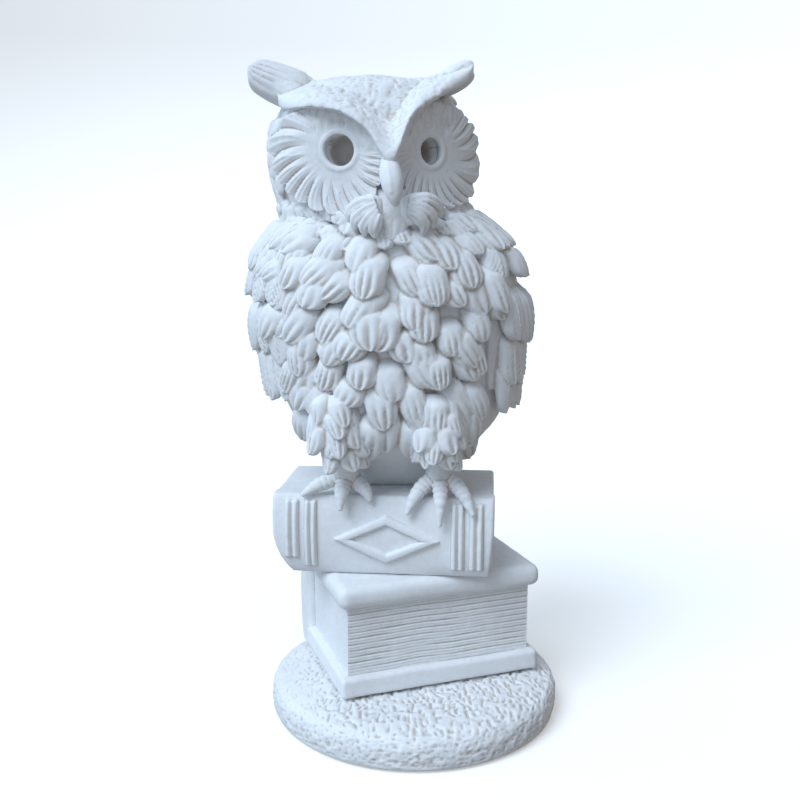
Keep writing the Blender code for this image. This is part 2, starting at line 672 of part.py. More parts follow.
def owl():
    trunk = trunk_solid("torso", TRUNK[0][0], NECK - GAP / 2, rings=12)
    skull = trunk_solid("skull", NECK + GAP / 2, TRUNK[-1][0], rings=10)

    breast = feather_tiers(
        "breast_row", BREAST_LEVELS, [(-s, s + 1.0) for s in BREAST_SPREAD], BREAST_FEATHERS,
        limits=lambda z: (-wing_line(z) + 1.5, wing_line(z) - 1.5))
    counts = (5, 5, 5, 5)
    feather_tiers(
        "wing_tier_l", WING_LEVELS_L, [(-WING_OUTER, -WING_LINE_TOP)] * 4, counts, 4.0, WING_HEIGHT,
        limits=lambda z: (-WING_OUTER, -wing_line(z) - 1.5))
    feather_tiers(
        "wing_tier_r", WING_LEVELS_R, [(WING_LINE_TOP, WING_OUTER)] * 4, counts, 4.0, WING_HEIGHT,
        limits=lambda z: (wing_line(z) + 4.0, WING_OUTER))
    feather_tiers(
        "mantle_row", BACK_LEVELS, [(114.0, 246.0)] * 3, (8, 8, 8), 4.5, height=4.6)

    for name, first, last in (("wing_tip_l", 182.0, 244.0), ("wing_tip_r", 116.0, 178.0)):
        outward = 1.0 if first > 180 else -1.0

        def where(u, v, first=first, last=last, outward=outward):
            middle = first if outward > 0 else last
            spread = (u if outward > 0 else 1 - u) * (last - first) * (1.0 - 0.55 * v)
            angle = middle + outward * spread
            start = BACK_LEVELS[3] - 4.5 - 2 * GAP
            return angle, start + (98.0 - start) * v

        shell(name, 4, 9, where, lambda u, v: 3.4 - 1.2 * v + 0.5 * math.cos(u * 6 * math.pi))

    disc_l, disc_r = facial_disc("facial_disc_l", -1), facial_disc("facial_disc_r", 1)
    brow_l, brow_r = brow("brow_tuft_l", -1), brow("brow_tuft_r", 1)
    nose = beak()
    brow_top = forehead()
    lobe_l, lobe_r, bib = chin_parts()
    ruff_l, ruff_r, nape = neck_ruff()
    cut_by(brow_r, [brow_l])
    cut_by(brow_l, [nose])
    cut_by(brow_r, [nose])
    cut_by(disc_l, [nose, brow_l])
    cut_by(disc_r, [nose, brow_r, disc_l])
    cut_by(brow_top, [nose, brow_l, brow_r])
    cut_by(bib, [nose])
    cut_by(lobe_l, [nose, disc_l, bib])
    cut_by(lobe_r, [nose, disc_r, bib])
    cut_by(ruff_l, [disc_l, lobe_l])
    cut_by(ruff_r, [disc_r, lobe_r])
    cut_by(nape, [disc_l, disc_r, ruff_l, ruff_r])
    cut_by(breast[0], [bib, lobe_l, lobe_r, ruff_l, ruff_r])
    cut_by(skull, [brow_l, brow_r, nose])
    cut(skull, [eye_bore("bore_l", -1), eye_bore("bore_r", 1)])

    thigh_l = leg("thigh_l", (-29.0, -24.0, 124.0), (-25.0, -22.0, 101.5), 9.0)
    thigh_r = leg("thigh_r", (6.5, -25.0, 124.0), (8.0, -23.0, 101.5), 8.6)
    cut_by(thigh_l, [trunk] + breast[4:])
    cut_by(thigh_r, [trunk] + breast[4:])
    book = [bpy.data.objects[n] for n in ("upper_book_top_board", "upper_book_spine")]
    bands = [bpy.data.objects[f"upper_book_band_{k}"] for k in (1, 2, 3, 4)]
    toes = []
    for name, start, knuckle, edge, tip in (
        ("toe_l_1", (-27.0, -14.0, 95.0), (-33.0, -14.5, 92.0), (-38.0, -15.5, 90.0), (-41.5, -16.5, 87.0)),
        ("toe_l_2", (-25.0, -15.0, 96.0), (-26.0, -17.5, 92.5), (-26.5, -19.5, 88.5), (-27.0, -20.2, 82.8)),
        ("toe_l_3", (-22.0, -14.0, 95.5), (-19.0, -16.0, 92.0), (-17.0, -18.3, 89.5), (-15.8, -19.8, 85.5)),
        ("toe_r_1", (5.0, -17.0, 96.0), (1.0, -18.0, 92.0), (-2.0, -20.5, 88.0), (-4.0, -22.0, 81.5)),
        ("toe_r_2", (8.4, -18.0, 96.5), (8.6, -20.0, 92.5), (8.6, -22.5, 88.0), (8.2, -25.0, 77.6)),
        ("toe_r_3", (12.0, -17.5, 96.0), (15.5, -19.0, 92.5), (18.5, -22.0, 88.5), (20.8, -25.5, 81.6)),
    ):
        toes.append(toe(name, start, knuckle, edge, tip))
    foot_l = tube("foot_l", [(-24.8, -21.5, 101.0), (-24.6, -19.5, 97.5), (-24.5, -16.5, 93.5), (-24.5, -14.5, 88.5)],
                  [3.8, 4.6, 5.4, 4.6], sides=12)
    foot_r = tube("foot_r", [(8.2, -22.5, 101.0), (8.3, -20.5, 97.5), (8.4, -17.5, 93.5), (8.4, -15.0, 88.5)],
                  [3.8, 4.6, 5.4, 4.6], sides=12)
    cut_by(foot_l, [trunk, thigh_l] + breast[5:] + book, 2 * GAP)
    cut_by(foot_r, [trunk, thigh_r] + breast[5:] + book, 2 * GAP)
    for k, piece in enumerate(toes):
        others = [foot_l if k < 3 else foot_r, thigh_l if k < 3 else thigh_r, trunk]
        others += toes[:k] if k < 3 else toes[3:k]
        cut_by(piece, others + book + bands, 1.5 * GAP)

    tail = tube("tail", [(-8.0, 31.0, 112.0), (-8.0, 32.0, 103.0), (-8.0, 31.5, 94.0), (-8.0, 30.8, 85.0),
                         (-8.0, 30.4, 76.0), (-8.0, 30.2, 72.0)],
                [4.4, 4.6, 4.2, 3.8, 3.2, 1.8], sides=16, flat=3.0)
    tips = [bpy.data.objects["wing_tip_l"], bpy.data.objects["wing_tip_r"]]
    cut_by(tail, [trunk] + tips + book)


def main():
    clear_scene()
    plinth()
    lower_book()
    upper_book()
    owl()
    bpy.context.view_layer.update()


main()
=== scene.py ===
"""Looks of the plaster owl on two books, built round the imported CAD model.

Shapes are worked out in millimetres in the CAD model's own frame and turned into
metres when a mesh is made. The owl faces -Y, +X is the viewer's right, +Z is up.
"""

import math

import bmesh
import bpy
import numpy as np
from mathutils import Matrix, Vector


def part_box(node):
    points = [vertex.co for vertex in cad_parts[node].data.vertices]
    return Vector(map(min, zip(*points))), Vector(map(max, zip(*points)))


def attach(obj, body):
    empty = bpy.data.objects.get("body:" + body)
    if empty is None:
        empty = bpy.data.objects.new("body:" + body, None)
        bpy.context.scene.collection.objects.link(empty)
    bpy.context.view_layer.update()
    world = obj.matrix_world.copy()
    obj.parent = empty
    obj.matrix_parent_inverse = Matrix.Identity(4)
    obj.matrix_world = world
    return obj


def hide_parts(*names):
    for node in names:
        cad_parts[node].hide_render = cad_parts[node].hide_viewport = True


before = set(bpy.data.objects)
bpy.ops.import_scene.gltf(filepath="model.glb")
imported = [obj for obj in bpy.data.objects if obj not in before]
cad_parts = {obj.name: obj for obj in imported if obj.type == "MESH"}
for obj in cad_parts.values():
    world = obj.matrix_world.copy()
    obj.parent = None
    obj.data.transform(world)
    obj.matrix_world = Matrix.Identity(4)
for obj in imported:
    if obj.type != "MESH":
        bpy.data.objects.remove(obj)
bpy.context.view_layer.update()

MM = 0.001
VOXEL = 0.42
SEED = 20
LATTICE = 32
PAGE_CREASE = 42


# ---------------------------------------------------------------- small tools


def box_mm(node):
    low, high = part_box(node)
    return np.array(low) / MM, np.array(high) / MM


def heights(node):
    """Heights of the underside and the top of a CAD node."""
    low, high = box_mm(node)
    return low[2], high[2]


def smoothstep(low, high, value):
    t = np.clip((value - low) / (high - low), 0.0, 1.0)
    return t * t * (3 - 2 * t)


LATTICES = {}


def noise(points, size, seed=0):
    """Smooth noise from -1 to 1 whose features are about size mm."""
    if seed not in LATTICES:
        LATTICES[seed] = np.random.default_rng(SEED + seed).random((LATTICE,) * 3) * 2 - 1
    grid = LATTICES[seed]
    p = np.asarray(points, float) / size + 7.31 * (seed + 1)
    cell = np.floor(p).astype(int)
    f = p - cell
    f = f * f * (3 - 2 * f)
    total = 0.0
    for dx in (0, 1):
        for dy in (0, 1):
            for dz in (0, 1):
                weight = (
                    (f[..., 0] if dx else 1 - f[..., 0])
                    * (f[..., 1] if dy else 1 - f[..., 1])
                    * (f[..., 2] if dz else 1 - f[..., 2])
                )
                corner = [(cell[..., axis] + step) % LATTICE for axis, step in enumerate((dx, dy, dz))]
                total = total + weight * grid[tuple(corner)]
    return total


def layered(points, size, octaves, seed=0):
    """Noise at size mm with finer and fainter noise on top."""
    total, scale = 0.0, 1.0
    for k in range(octaves):
        total = total + noise(points, size / 2 ** k, seed + k) * scale
        scale *= 0.5
    return total


class Shape:
    """Points in mm and faces, gathered from closed solids."""

    def __init__(self):
        self.points, self.quads, self.tris, self.count = [], [], [], 0

    def add(self, points, quads, tris=()):
        points = np.asarray(points, float).reshape(-1, 3)
        self.points.append(points)
        self.quads.append(np.asarray(quads, int).reshape(-1, 4) + self.count)
        if len(tris):
            self.tris.append(np.asarray(tris, int).reshape(-1, 3) + self.count)
        self.count += len(points)

    def mesh(self, name):
        points = np.concatenate(self.points) * MM
        quads = np.concatenate(self.quads) if self.quads else np.zeros((0, 4), int)
        tris = np.concatenate(self.tris) if self.tris else np.zeros((0, 3), int)
        mesh = bpy.data.meshes.new(name)
        mesh.vertices.add(len(points))
        mesh.vertices.foreach_set("co", points.astype(np.float32).ravel())
        loops = np.concatenate([quads.ravel(), tris.ravel()])
        mesh.loops.add(len(loops))
        mesh.loops.foreach_set("vertex_index", loops.astype(np.int32))
        sizes = np.concatenate([np.full(len(quads), 4), np.full(len(tris), 3)])
        starts = np.concatenate([[0], np.cumsum(sizes)[:-1]])
        mesh.polygons.add(len(sizes))
        mesh.polygons.foreach_set("loop_start", starts.astype(np.int32))
        mesh.polygons.foreach_set("loop_total", sizes.astype(np.int32))
        mesh.update(calc_edges=True)
        mesh.validate()
        return mesh


def grid_quads(rows, cols, wrap):
    i, j = np.meshgrid(np.arange(rows - 1), np.arange(cols if wrap else cols - 1), indexing="ij")
    k = (j + 1) % cols
    return np.stack([i * cols + j, i * cols + k, (i + 1) * cols + k, (i + 1) * cols + j], -1).reshape(-1, 4)


def add_loft(shape, rings):
    """A closed solid through rings, its ends closed by fans."""
    rings = np.asarray(rings, float)
    rows, cols = rings.shape[:2]
    points = np.concatenate([rings.reshape(-1, 3), rings[:1].mean(1), rings[-1:].mean(1)])
    low, high = rows * cols, rows * cols + 1
    j = np.arange(cols)
    k = (j + 1) % cols
    tris = np.concatenate([
        np.stack([k, j, np.full(cols, low)], -1),
        np.stack([(rows - 1) * cols + j, (rows - 1) * cols + k, np.full(cols, high)], -1),
    ])
    shape.add(points, grid_quads(rows, cols, True), tris)


def add_slab(shape, under, over):
    """A closed solid between two matching grids of points."""
    rows, cols = under.shape[:2]
    n = rows * cols
    quads = grid_quads(rows, cols, False)
    rim = np.concatenate([
        np.arange(cols), np.arange(1, rows) * cols + cols - 1,
        (rows - 1) * cols + np.arange(cols - 2, -1, -1), np.arange(rows - 2, 0, -1) * cols,
    ])
    after = np.roll(rim, -1)
    walls = np.stack([rim, after, after + n, rim + n], -1)
    points = np.concatenate([under.reshape(-1, 3), over.reshape(-1, 3)])
    shape.add(points, np.concatenate([quads[:, ::-1], quads + n, walls]))


def link(name, mesh):
    obj = bpy.data.objects.new(name, mesh)
    bpy.context.scene.collection.objects.link(obj)
    return obj


def outward(mesh):
    work = bmesh.new()
    work.from_mesh(mesh)
    bmesh.ops.recalc_face_normals(work, faces=work.faces)
    if work.calc_volume(signed=True) < 0:
        bmesh.ops.reverse_faces(work, faces=work.faces)
    work.to_mesh(mesh)
    work.free()


def shade_smooth(mesh, crease=None):
    mesh.polygons.foreach_set("use_smooth", np.ones(len(mesh.polygons), bool))
    if crease:
        mesh.set_sharp_from_angle(angle=math.radians(crease))
    mesh.update()


def solid(name, shape, crease=None):
    """Links shape as one object, its faces turned outward and shaded smooth."""
    obj = link(name, shape.mesh(name))
    outward(obj.data)
    shade_smooth(obj.data, crease)
    return obj


def applied(obj):
    """Replaces obj's mesh by what its modifiers make of it."""
    bpy.context.view_layer.update()
    graph = bpy.context.evaluated_depsgraph_get()
    mesh = bpy.data.meshes.new_from_object(obj.evaluated_get(graph))
    old = obj.data
    obj.modifiers.clear()
    obj.data = mesh
    bpy.data.meshes.remove(old)
    return obj


def fused(name, shape, voxel=VOXEL, rounds=3):
    """Casts overlapping closed solids into one skin and softens it."""
    obj = link(name, shape.mesh(name))
    outward(obj.data)
    remesh = obj.modifiers.new("cast", "REMESH")
    remesh.mode = "VOXEL"
    remesh.voxel_size = voxel * MM
    remesh.adaptivity = 0.0
    soften = obj.modifiers.new("soften", "SMOOTH")
    soften.factor = 0.5
    soften.iterations = rounds
    applied(obj)
    shade_smooth(obj.data)
    return obj


def vertex_arrays(mesh):
    co = np.zeros(len(mesh.vertices) * 3, np.float32)
    mesh.vertices.foreach_get("co", co)
    normal = np.zeros(len(mesh.vertices) * 3, np.float32)
    mesh.vertices.foreach_get("normal", normal)
    return co.reshape(-1, 3) / MM, normal.reshape(-1, 3)


def roughen(obj, height_of):
    """Moves each point along its normal by height_of(points, normals), in mm."""
    points, normals = vertex_arrays(obj.data)
    moved = points + normals * np.asarray(height_of(points, normals))[:, None]
    obj.data.vertices.foreach_set("co", (moved * MM).astype(np.float32).ravel())
    obj.data.update()


def cast_grain(amount):
    """Faint unevenness of a cast surface, about amount mm deep."""
    def height(p, n):
        return amount * (1.2 * noise(p, 4.5, 3) + 0.7 * noise(p, 1.4, 4))
    return height


def places(first, last, many, shift):
    """Evenly spaced values from first to last, moved on by shift of a step."""
    return [first + (last - first) * (j + shift) / many for j in range(many)]


# ------------------------------------------------------------------- plaster


def plaster(name, shift, bump=1.0):
    """White gypsum plaster: faint tone changes, chalky sheen, pores and pinholes, with painted shade
    darkening its creases and pinholes.
    """
    material = bpy.data.materials.new(name)
    material.use_nodes = True
    tree = material.node_tree
    nodes, links = tree.nodes, tree.links
    shader = nodes["Principled BSDF"]
    shader.inputs["IOR"].default_value = 1.45
    shader.inputs["Specular IOR Level"].default_value = 0.32
    where = nodes.new("ShaderNodeTexCoord")
    move = nodes.new("ShaderNodeMapping")
    move.inputs["Location"].default_value = (shift * 0.013, shift * 0.021, shift * 0.017)
    links.new(where.outputs["Object"], move.inputs["Vector"])

    def texture(kind, scale, detail=None):
        node = nodes.new(kind)
        node.inputs["Scale"].default_value = scale
        if detail is not None:
            node.inputs["Detail"].default_value = detail
        links.new(move.outputs["Vector"], node.inputs["Vector"])
        return node

    def ramp(source, stops):
        node = nodes.new("ShaderNodeValToRGB")
        for index, (position, colour) in enumerate(stops):
            element = node.color_ramp.elements[index]
            element.position = position
            element.color = colour
        links.new(source, node.inputs["Fac"])
        return node

    def mix(kind, factor, a, b):
        node = nodes.new("ShaderNodeMix")
        node.data_type = "RGBA"
        node.blend_type = kind
        if isinstance(factor, float):
            node.inputs["Factor"].default_value = factor
        else:
            links.new(factor, node.inputs["Factor"])
        links.new(a, node.inputs["A"])
        links.new(b, node.inputs["B"])
        return node.outputs["Result"]

    clouds = texture("ShaderNodeTexNoise", 28.0, 4.0)
    tone = ramp(clouds.outputs["Fac"], (
        (0.30, (0.790, 0.792, 0.795, 1.0)), (0.72, (0.855, 0.858, 0.862, 1.0))))
    speckle = texture("ShaderNodeTexNoise", 420.0, 3.0)
    dust = ramp(speckle.outputs["Fac"], (
        (0.35, (0.93, 0.925, 0.915, 1.0)), (0.60, (1.0, 1.0, 1.0, 1.0))))
    colour = mix("MULTIPLY", 0.6, tone.outputs["Color"], dust.outputs["Color"])
    # Painted shade: creases and hollows, found by the mesh's pointiness, are darkened to a warm beige
    edge = nodes.new("ShaderNodeNewGeometry")
    hollow = ramp(edge.outputs["Pointiness"], (
        (0.474, (0.62, 0.54, 0.46, 1.0)), (0.4985, (1.0, 1.0, 1.0, 1.0))))
    colour = mix("MULTIPLY", 0.75, colour, hollow.outputs["Color"])
    # Pinholes: dented by the bump below and darkened with painted shade inside them
    pits = texture("ShaderNodeTexVoronoi", 210.0)
    pit_depth_and_shade = ramp(pits.outputs["Distance"], (
        (0.035, (0.72, 0.70, 0.67, 1.0)), (0.085, (1.0, 1.0, 1.0, 1.0))))
    colour = mix("MULTIPLY", 0.7, colour, pit_depth_and_shade.outputs["Color"])
    links.new(colour, shader.inputs["Base Color"])

    rough = nodes.new("ShaderNodeMapRange")
    rough.inputs["To Min"].default_value = 0.62
    rough.inputs["To Max"].default_value = 0.86
    links.new(speckle.outputs["Fac"], rough.inputs["Value"])
    links.new(rough.outputs["Result"], shader.inputs["Roughness"])

    grain = texture("ShaderNodeTexNoise", 900.0, 5.0)
    first = nodes.new("ShaderNodeBump")
    first.inputs["Strength"].default_value = 0.30 * bump
    first.inputs["Distance"].default_value = 0.00025
    links.new(grain.outputs["Fac"], first.inputs["Height"])
    second = nodes.new("ShaderNodeBump")
    second.inputs["Strength"].default_value = 0.45 * bump
    second.inputs["Distance"].default_value = 0.0003
    links.new(pit_depth_and_shade.outputs["Color"], second.inputs["Height"])
    links.new(first.outputs["Normal"], second.inputs["Normal"])
    links.new(second.outputs["Normal"], shader.inputs["Normal"])
    return material


MADE = []


def finish_piece(obj, *nodes, bump=1.0):
    """Gives a piece its own plaster, hangs it under the root and hides the CAD nodes it stands for."""
    obj.data.materials.clear()
    obj.data.materials.append(plaster(obj.name + "_plaster", len(MADE) + 1, bump))
    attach(obj, "root")
    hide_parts(*nodes)
    MADE.append(obj)


def cast_piece(name, shape, grain, *nodes, **how):
    """Casts shape into one skin, roughens it by grain mm and finishes it as a piece."""
    obj = fused(name, shape, **how)
    roughen(obj, cast_grain(grain))
    finish_piece(obj, *nodes)


# ----------------------------------------------------------- the owl's skin

# Height, centre x, centre y, half width, half depth of the smooth body
TRUNK = np.array((
    (87.6, -8.0, 12.0, 17.5, 8.0),
    (96.0, -8.0, 10.5, 25.5, 16.0),
    (104.0, -7.2, 8.8, 32.5, 24.7),
    (112.0, -7.0, 7.0, 38.5, 31.0),
    (120.0, -7.5, 6.5, 42.0, 33.5),
    (135.0, -8.8, 6.0, 44.5, 35.5),
    (150.0, -9.6, 5.0, 47.0, 36.0),
    (164.0, -10.0, 4.0, 45.8, 35.0),
    (172.0, -10.4, 3.5, 43.5, 33.5),
    (179.0, -11.0, 3.0, 38.0, 31.0),
    (184.0, -12.5, 2.5, 33.5, 29.0),
    (190.0, -15.0, 2.2, 32.5, 29.0),
    (200.0, -16.2, 2.0, 34.0, 31.0),
    (209.0, -16.5, 2.0, 34.5, 32.0),
    (217.0, -16.5, 2.0, 33.5, 31.5),
    (225.0, -16.5, 2.0, 30.5, 29.0),
    (230.5, -16.5, 2.0, 25.0, 24.5),
    (233.6, -16.5, 2.0, 14.0, 15.0),
))
NECK = 187.6
HEAD_TURN = 11.0
MEAN_RADIUS = 35.0
ROOT_SINK = 2.6
FREE_ROOT_SINK = 1.8


def dense_table(rows, step=0.25):
    """Smooth curve through the stations, read at every step of height."""
    levels = np.arange(rows[0, 0], rows[-1, 0] + step / 2, step)
    k = np.clip(np.searchsorted(rows[:, 0], levels, side="right") - 1, 0, len(rows) - 2)
    a, b = rows[k], rows[k + 1]
    before, after = rows[np.maximum(k - 1, 0)], rows[np.minimum(k + 2, len(rows) - 1)]
    span = b[:, :1] - a[:, :1]
    t = ((levels - a[:, 0]) / span[:, 0])[:, None]
    ma = (b - before) / np.maximum(b[:, :1] - before[:, :1], 1e-6) * span
    mb = (after - a) / np.maximum(after[:, :1] - a[:, :1], 1e-6) * span
    t2, t3 = t * t, t * t * t
    out = (2 * t3 - 3 * t2 + 1) * a + (t3 - 2 * t2 + t) * ma + (3 * t2 - 2 * t3) * b + (t3 - t2) * mb
    out[:, 0] = levels
    return out


DENSE = dense_table(TRUNK)
SLOPES = np.gradient(DENSE[:, 1:], DENSE[:, 0], axis=0)


def at_level(z):
    z = np.clip(z, DENSE[0, 0], DENSE[-1, 0])
    values = [np.interp(z, DENSE[:, 0], DENSE[:, c]) for c in range(1, 5)]
    slopes = [np.interp(z, DENSE[:, 0], SLOPES[:, c]) for c in range(4)]
    return values, slopes


def skin(angle, z, out=0.0):
    """Points out mm off the smooth body. Angle 0 is the front, + is towards +X."""
    angle, z = np.broadcast_arrays(np.radians(np.asarray(angle, float)), np.asarray(z, float))
    (cx, cy, a, b), (dcx, dcy, da, db) = at_level(z)
    s, c = np.sin(angle), np.cos(angle)
    point = np.stack([cx + a * s, cy - b * c, z], -1)
    normal = np.stack([b * s, -a * c, a * c * (dcy - db * c) - b * s * (dcx + da * s)], -1)
    normal /= np.linalg.norm(normal, axis=-1, keepdims=True)
    return point + normal * np.asarray(out, float)[..., None], normal


def girth(z):
    """Mean of the half width and half depth at height z, to turn lengths into angles."""
    (_, _, a, b), _ = at_level(np.asarray(z, float))
    return (a + b) / 2


def add_trunk(shape, low, high, inset, rings=90, sides=160):
    """The smooth body between two heights, drawn in by inset mm."""
    t = 0.5 - 0.5 * np.cos(np.pi * np.linspace(0, 1, rings))
    levels = low + (high - low) * t
    turn = np.linspace(0, 360, sides, endpoint=False)
    grid = skin(turn[None, :], levels[:, None])[0]
    centre = grid.mean(1, keepdims=True)
    grid = grid + (centre - grid) * (inset / MEAN_RADIUS)
    add_loft(shape, grid)


def add_patch(shape, angles, levels, under=-2.0, over=0.5, cols=60, rows=50):
    """A closed backing on the skin between two angles and two heights."""
    a = np.linspace(angles[0], angles[1], cols)[None, :]
    z = np.linspace(levels[0], levels[1], rows)[:, None]
    a, z = np.broadcast_arrays(a, z)
    add_slab(shape, skin(a, z, np.full(a.shape, under))[0], skin(a, z, np.full(a.shape, over))[0])


# --------------------------------------------------------------- one feather


def leaf(length, width, thick, barbs=4, barb_depth=0.3, rachis=0.0, tip=4.0, root=0.7,
         nu=26, nv=28, phase=0.0, ragged=0.05):
    """Local grids of one feather: across x, along y from its root, height of its top."""
    v = np.linspace(0, 1, nv + 1)[:, None]
    u = np.linspace(-1, 1, nu + 1)[None, :]
    wide = np.where(v < 0.45, root + (1 - root) * np.sin(np.pi * v / 0.9), 1.0)
    wide = wide * np.clip(1 - np.clip((v - 0.45) / 0.55, 0, 1) ** tip, 0, 1) ** 0.55
    fan = u * barbs * 0.5 + 0.22 * np.sin(2.3 * u + phase) + 0.10 * np.sin(4 * v + phase)
    groove = np.abs(np.cos(np.pi * fan + phase)) ** 3.0
    x = u * wide * width / 2 * (1 + 0.04 * np.sin(7 * v + phase))
    y = v * length * (1 - ragged * groove * v ** 3) + 0 * u
    crown = np.sqrt(np.clip(1 - np.abs(u) ** 2.4, 0, 1))
    along = 0.35 + 0.65 * np.sin(np.pi * np.clip(v * 0.80 + 0.06, 0, 1)) ** 0.8
    top = thick * crown * along
    show = smoothstep(0.30, 0.72, v)
    if rachis:
        lines = np.abs(np.cos((y * 0.75 - np.abs(x) * 1.15) * np.pi / 1.7 + phase)) ** 1.5
        top = top + rachis * np.exp(-(x / 0.5) ** 2) * crown
        top = top - barb_depth * 0.75 * lines * crown * (0.30 + 0.70 * show)
        top = top - barb_depth * 0.35 * groove * show * crown
    else:
        top = top - barb_depth * groove * show * crown
    return x, y, np.maximum(top, 0.0)


def add_feather(shape, angle, level, lean, length, width, thick=2.4, base=0.3, tilt=3.0,
                under=2.4, **kind):
    """One feather laid down the skin from its root at angle and level."""
    x, y, top = leaf(length, width, thick, **kind)
    cs, sn = math.cos(math.radians(lean)), math.sin(math.radians(lean))
    dx, dy = x * cs + y * sn, y * cs - x * sn
    _, normal = skin(angle, level)
    steep = math.sqrt(max(1 - float(normal[2]) ** 2, 0.15))
    z = level - dy * steep
    a = angle + np.degrees(dx / girth(z))
    v = y / length
    rise = base + tilt * v ** 0.85 - ROOT_SINK * (1 - smoothstep(0.0, 0.34, v))
    add_slab(shape, skin(a, z, rise - under * (0.35 + 0.65 * (1 - v)))[0], skin(a, z, rise + top)[0])


def feather_rows(shape, levels, span_of, lean_of, length, width, rng, loose=1.0, **kind):
    """Staggered, slightly unruly rows of feathers with their roots at the given heights."""
    for k, level in enumerate(levels):
        first, last = span_of(level)
        arc = math.radians(last - first) * float(girth(level))
        many = max(int(round(arc / (width * 0.78))), 2)
        for angle in places(first, last, many, 0.25 if k % 2 else 0.75):
            angle += rng.normal(0, 1.5 * loose)
            z = level + rng.normal(0, 1.3 * loose)
            grow = 1 + rng.normal(0, 0.09 * loose)
            lean = lean_of(angle, z) + rng.normal(0, 9.0 * loose)
            phase = rng.random() * 6
            rise = kind.get("base", 0.3) + min(abs(rng.normal(0, 0.8 * loose)), 1.8)
            carved = kind.get("barb_depth", 0.5) * (0.35 + 0.75 * rng.random())
            options = {**kind, "base": rise, "barb_depth": carved,
                       "barbs": kind.get("barbs", 4) + int(rng.integers(-1, 2))}
            add_feather(shape, angle, z, lean, length * grow, width * (1 + rng.normal(0, 0.08)),
                        phase=phase, **options)


def add_tube(shape, path, across, up=None, sides=40, steps=60, streaks=0, streak_depth=0.0,
             first_side=(1.0, 0.0, 0.0), wobble=None):
    """A smooth limb through path. across and up are its half sizes at each path point."""
    path = np.asarray(path, float)
    across = np.asarray(across, float)
    up = across if up is None else np.asarray(up, float)
    knots = np.arange(len(path))
    t = np.linspace(0, len(path) - 1, steps)

    def curve(values):
        k = np.clip(np.floor(t).astype(int), 0, len(path) - 2)
        f = t - k
        if values.ndim > 1:
            f = f[:, None]
        a, b = values[k], values[k + 1]
        before, after = values[np.maximum(k - 1, 0)], values[np.minimum(k + 2, len(path) - 1)]
        return 0.5 * (2 * a + (b - before) * f + (2 * before - 5 * a + 4 * b - after) * f ** 2
                      + (3 * a - before - 3 * b + after) * f ** 3)

    centre, wide, tall = curve(path), curve(across), curve(up)
    if wobble is not None:
        wide, tall = wide * wobble(t / knots[-1]), tall * wobble(t / knots[-1])
    side = np.array(first_side, float)
    rings = []
    turn = np.linspace(0, 2 * np.pi, sides, endpoint=False)
    swell = (1 + streak_depth * np.cos(streaks * turn))[:, None]
    for i in range(steps):
        ahead = centre[min(i + 1, steps - 1)] - centre[max(i - 1, 0)]
        ahead /= np.linalg.norm(ahead)
        side = side - ahead * side.dot(ahead)
        side /= np.linalg.norm(side)
        over = np.cross(side, ahead)
        cap = math.sqrt(max(1 - (max(abs(i / (steps - 1) - 0.5) * 2 - 0.94, 0) / 0.06) ** 2, 0.02))
        outline = np.cos(turn)[:, None] * wide[i] * side + np.sin(turn)[:, None] * tall[i] * over
        rings.append(centre[i] + cap * swell * outline)
    add_loft(shape, rings)


# -------------------------------------------------------------------- plinth


def make_plinth():
    """Thick rounded disc, its top rippled like short turf and its side pitted."""
    radius, _, top = box_mm("base_plinth")[1]
    rim = top - 3.2
    profile = np.array((
        (0.0, 0.0), (52.0, 0.0), (54.6, 0.9), (55.7, 2.6), (56.0, 5.0), (56.0, 8.4), (55.2, 11.0),
        (53.2, rim + 1.0), (49.0, rim + 2.2), (44.0, top - 0.5), (36.0, top - 0.2), (0.0, top - 0.15),
    ))
    profile[:, 0] *= radius / profile[:, 0].max()
    lengths = np.concatenate([[0], np.cumsum(np.linalg.norm(np.diff(profile, axis=0), axis=1))])
    crest = lengths[-1] - 24.0
    want = np.concatenate([np.linspace(0, lengths[1], 8), np.linspace(lengths[1], crest, 132)[1:],
                           np.linspace(crest, lengths[-1], 12)[1:]])
    r = np.interp(want, lengths, profile[:, 0])
    z = np.interp(want, lengths, profile[:, 1])
    for _ in range(6):
        r[9:-1] = (r[8:-2] + 2 * r[9:-1] + r[10:]) / 4
        z[9:-1] = (z[8:-2] + 2 * z[9:-1] + z[10:]) / 4
    sides = 640
    turn = np.linspace(0, 2 * np.pi, sides, endpoint=False)
    lumpy = 1 - 0.012 * (1 + noise(np.stack([np.cos(turn) * 30, np.sin(turn) * 30, 0 * turn], -1), 22, 5))
    rings = np.stack([r[1:-1, None] * np.cos(turn) * lumpy, r[1:-1, None] * np.sin(turn) * lumpy,
                      np.repeat(z[1:-1, None], sides, 1)], -1)
    shape = Shape()
    add_loft(shape, rings)
    obj = solid("plinth_cast", shape)

    def height(p, n):
        upward = smoothstep(0.45, 0.9, n[:, 2])
        side = smoothstep(0.9, 0.4, np.abs(n[:, 2])) * smoothstep(0.3, 2.6, p[:, 2])
        worked = smoothstep(12.0, -6.0, p[:, 1]) * smoothstep(-44, -20, p[:, 0])
        warp = np.stack([p[:, 0] + 1.2 * noise(p, 5, 1), p[:, 1] + 1.2 * noise(p, 5, 2), p[:, 2]], -1)
        blades = np.clip(noise(warp * (1.0, 0.5, 1.0), 1.15, 6), -0.35, 0.9)
        ripple = 0.55 - 1.4 * blades
        turf = upward * (0.30 + 0.70 * worked) * 0.50 * ripple
        pits = side * (0.26 * layered(p, 2.6, 3, 8) + 0.20 * noise(p, 1.1, 12)
                        - 0.24 * smoothstep(0.35, 0.7, noise(p, 1.9, 11)))
        under = smoothstep(0.2, 1.2, p[:, 2])
        return under * (turf + pits) - 0.62 * smoothstep(-0.8, -0.3, n[:, 2])

    roughen(obj, height)
    finish_piece(obj, "base_plinth", bump=1.2)


# --------------------------------------------------------------------- books


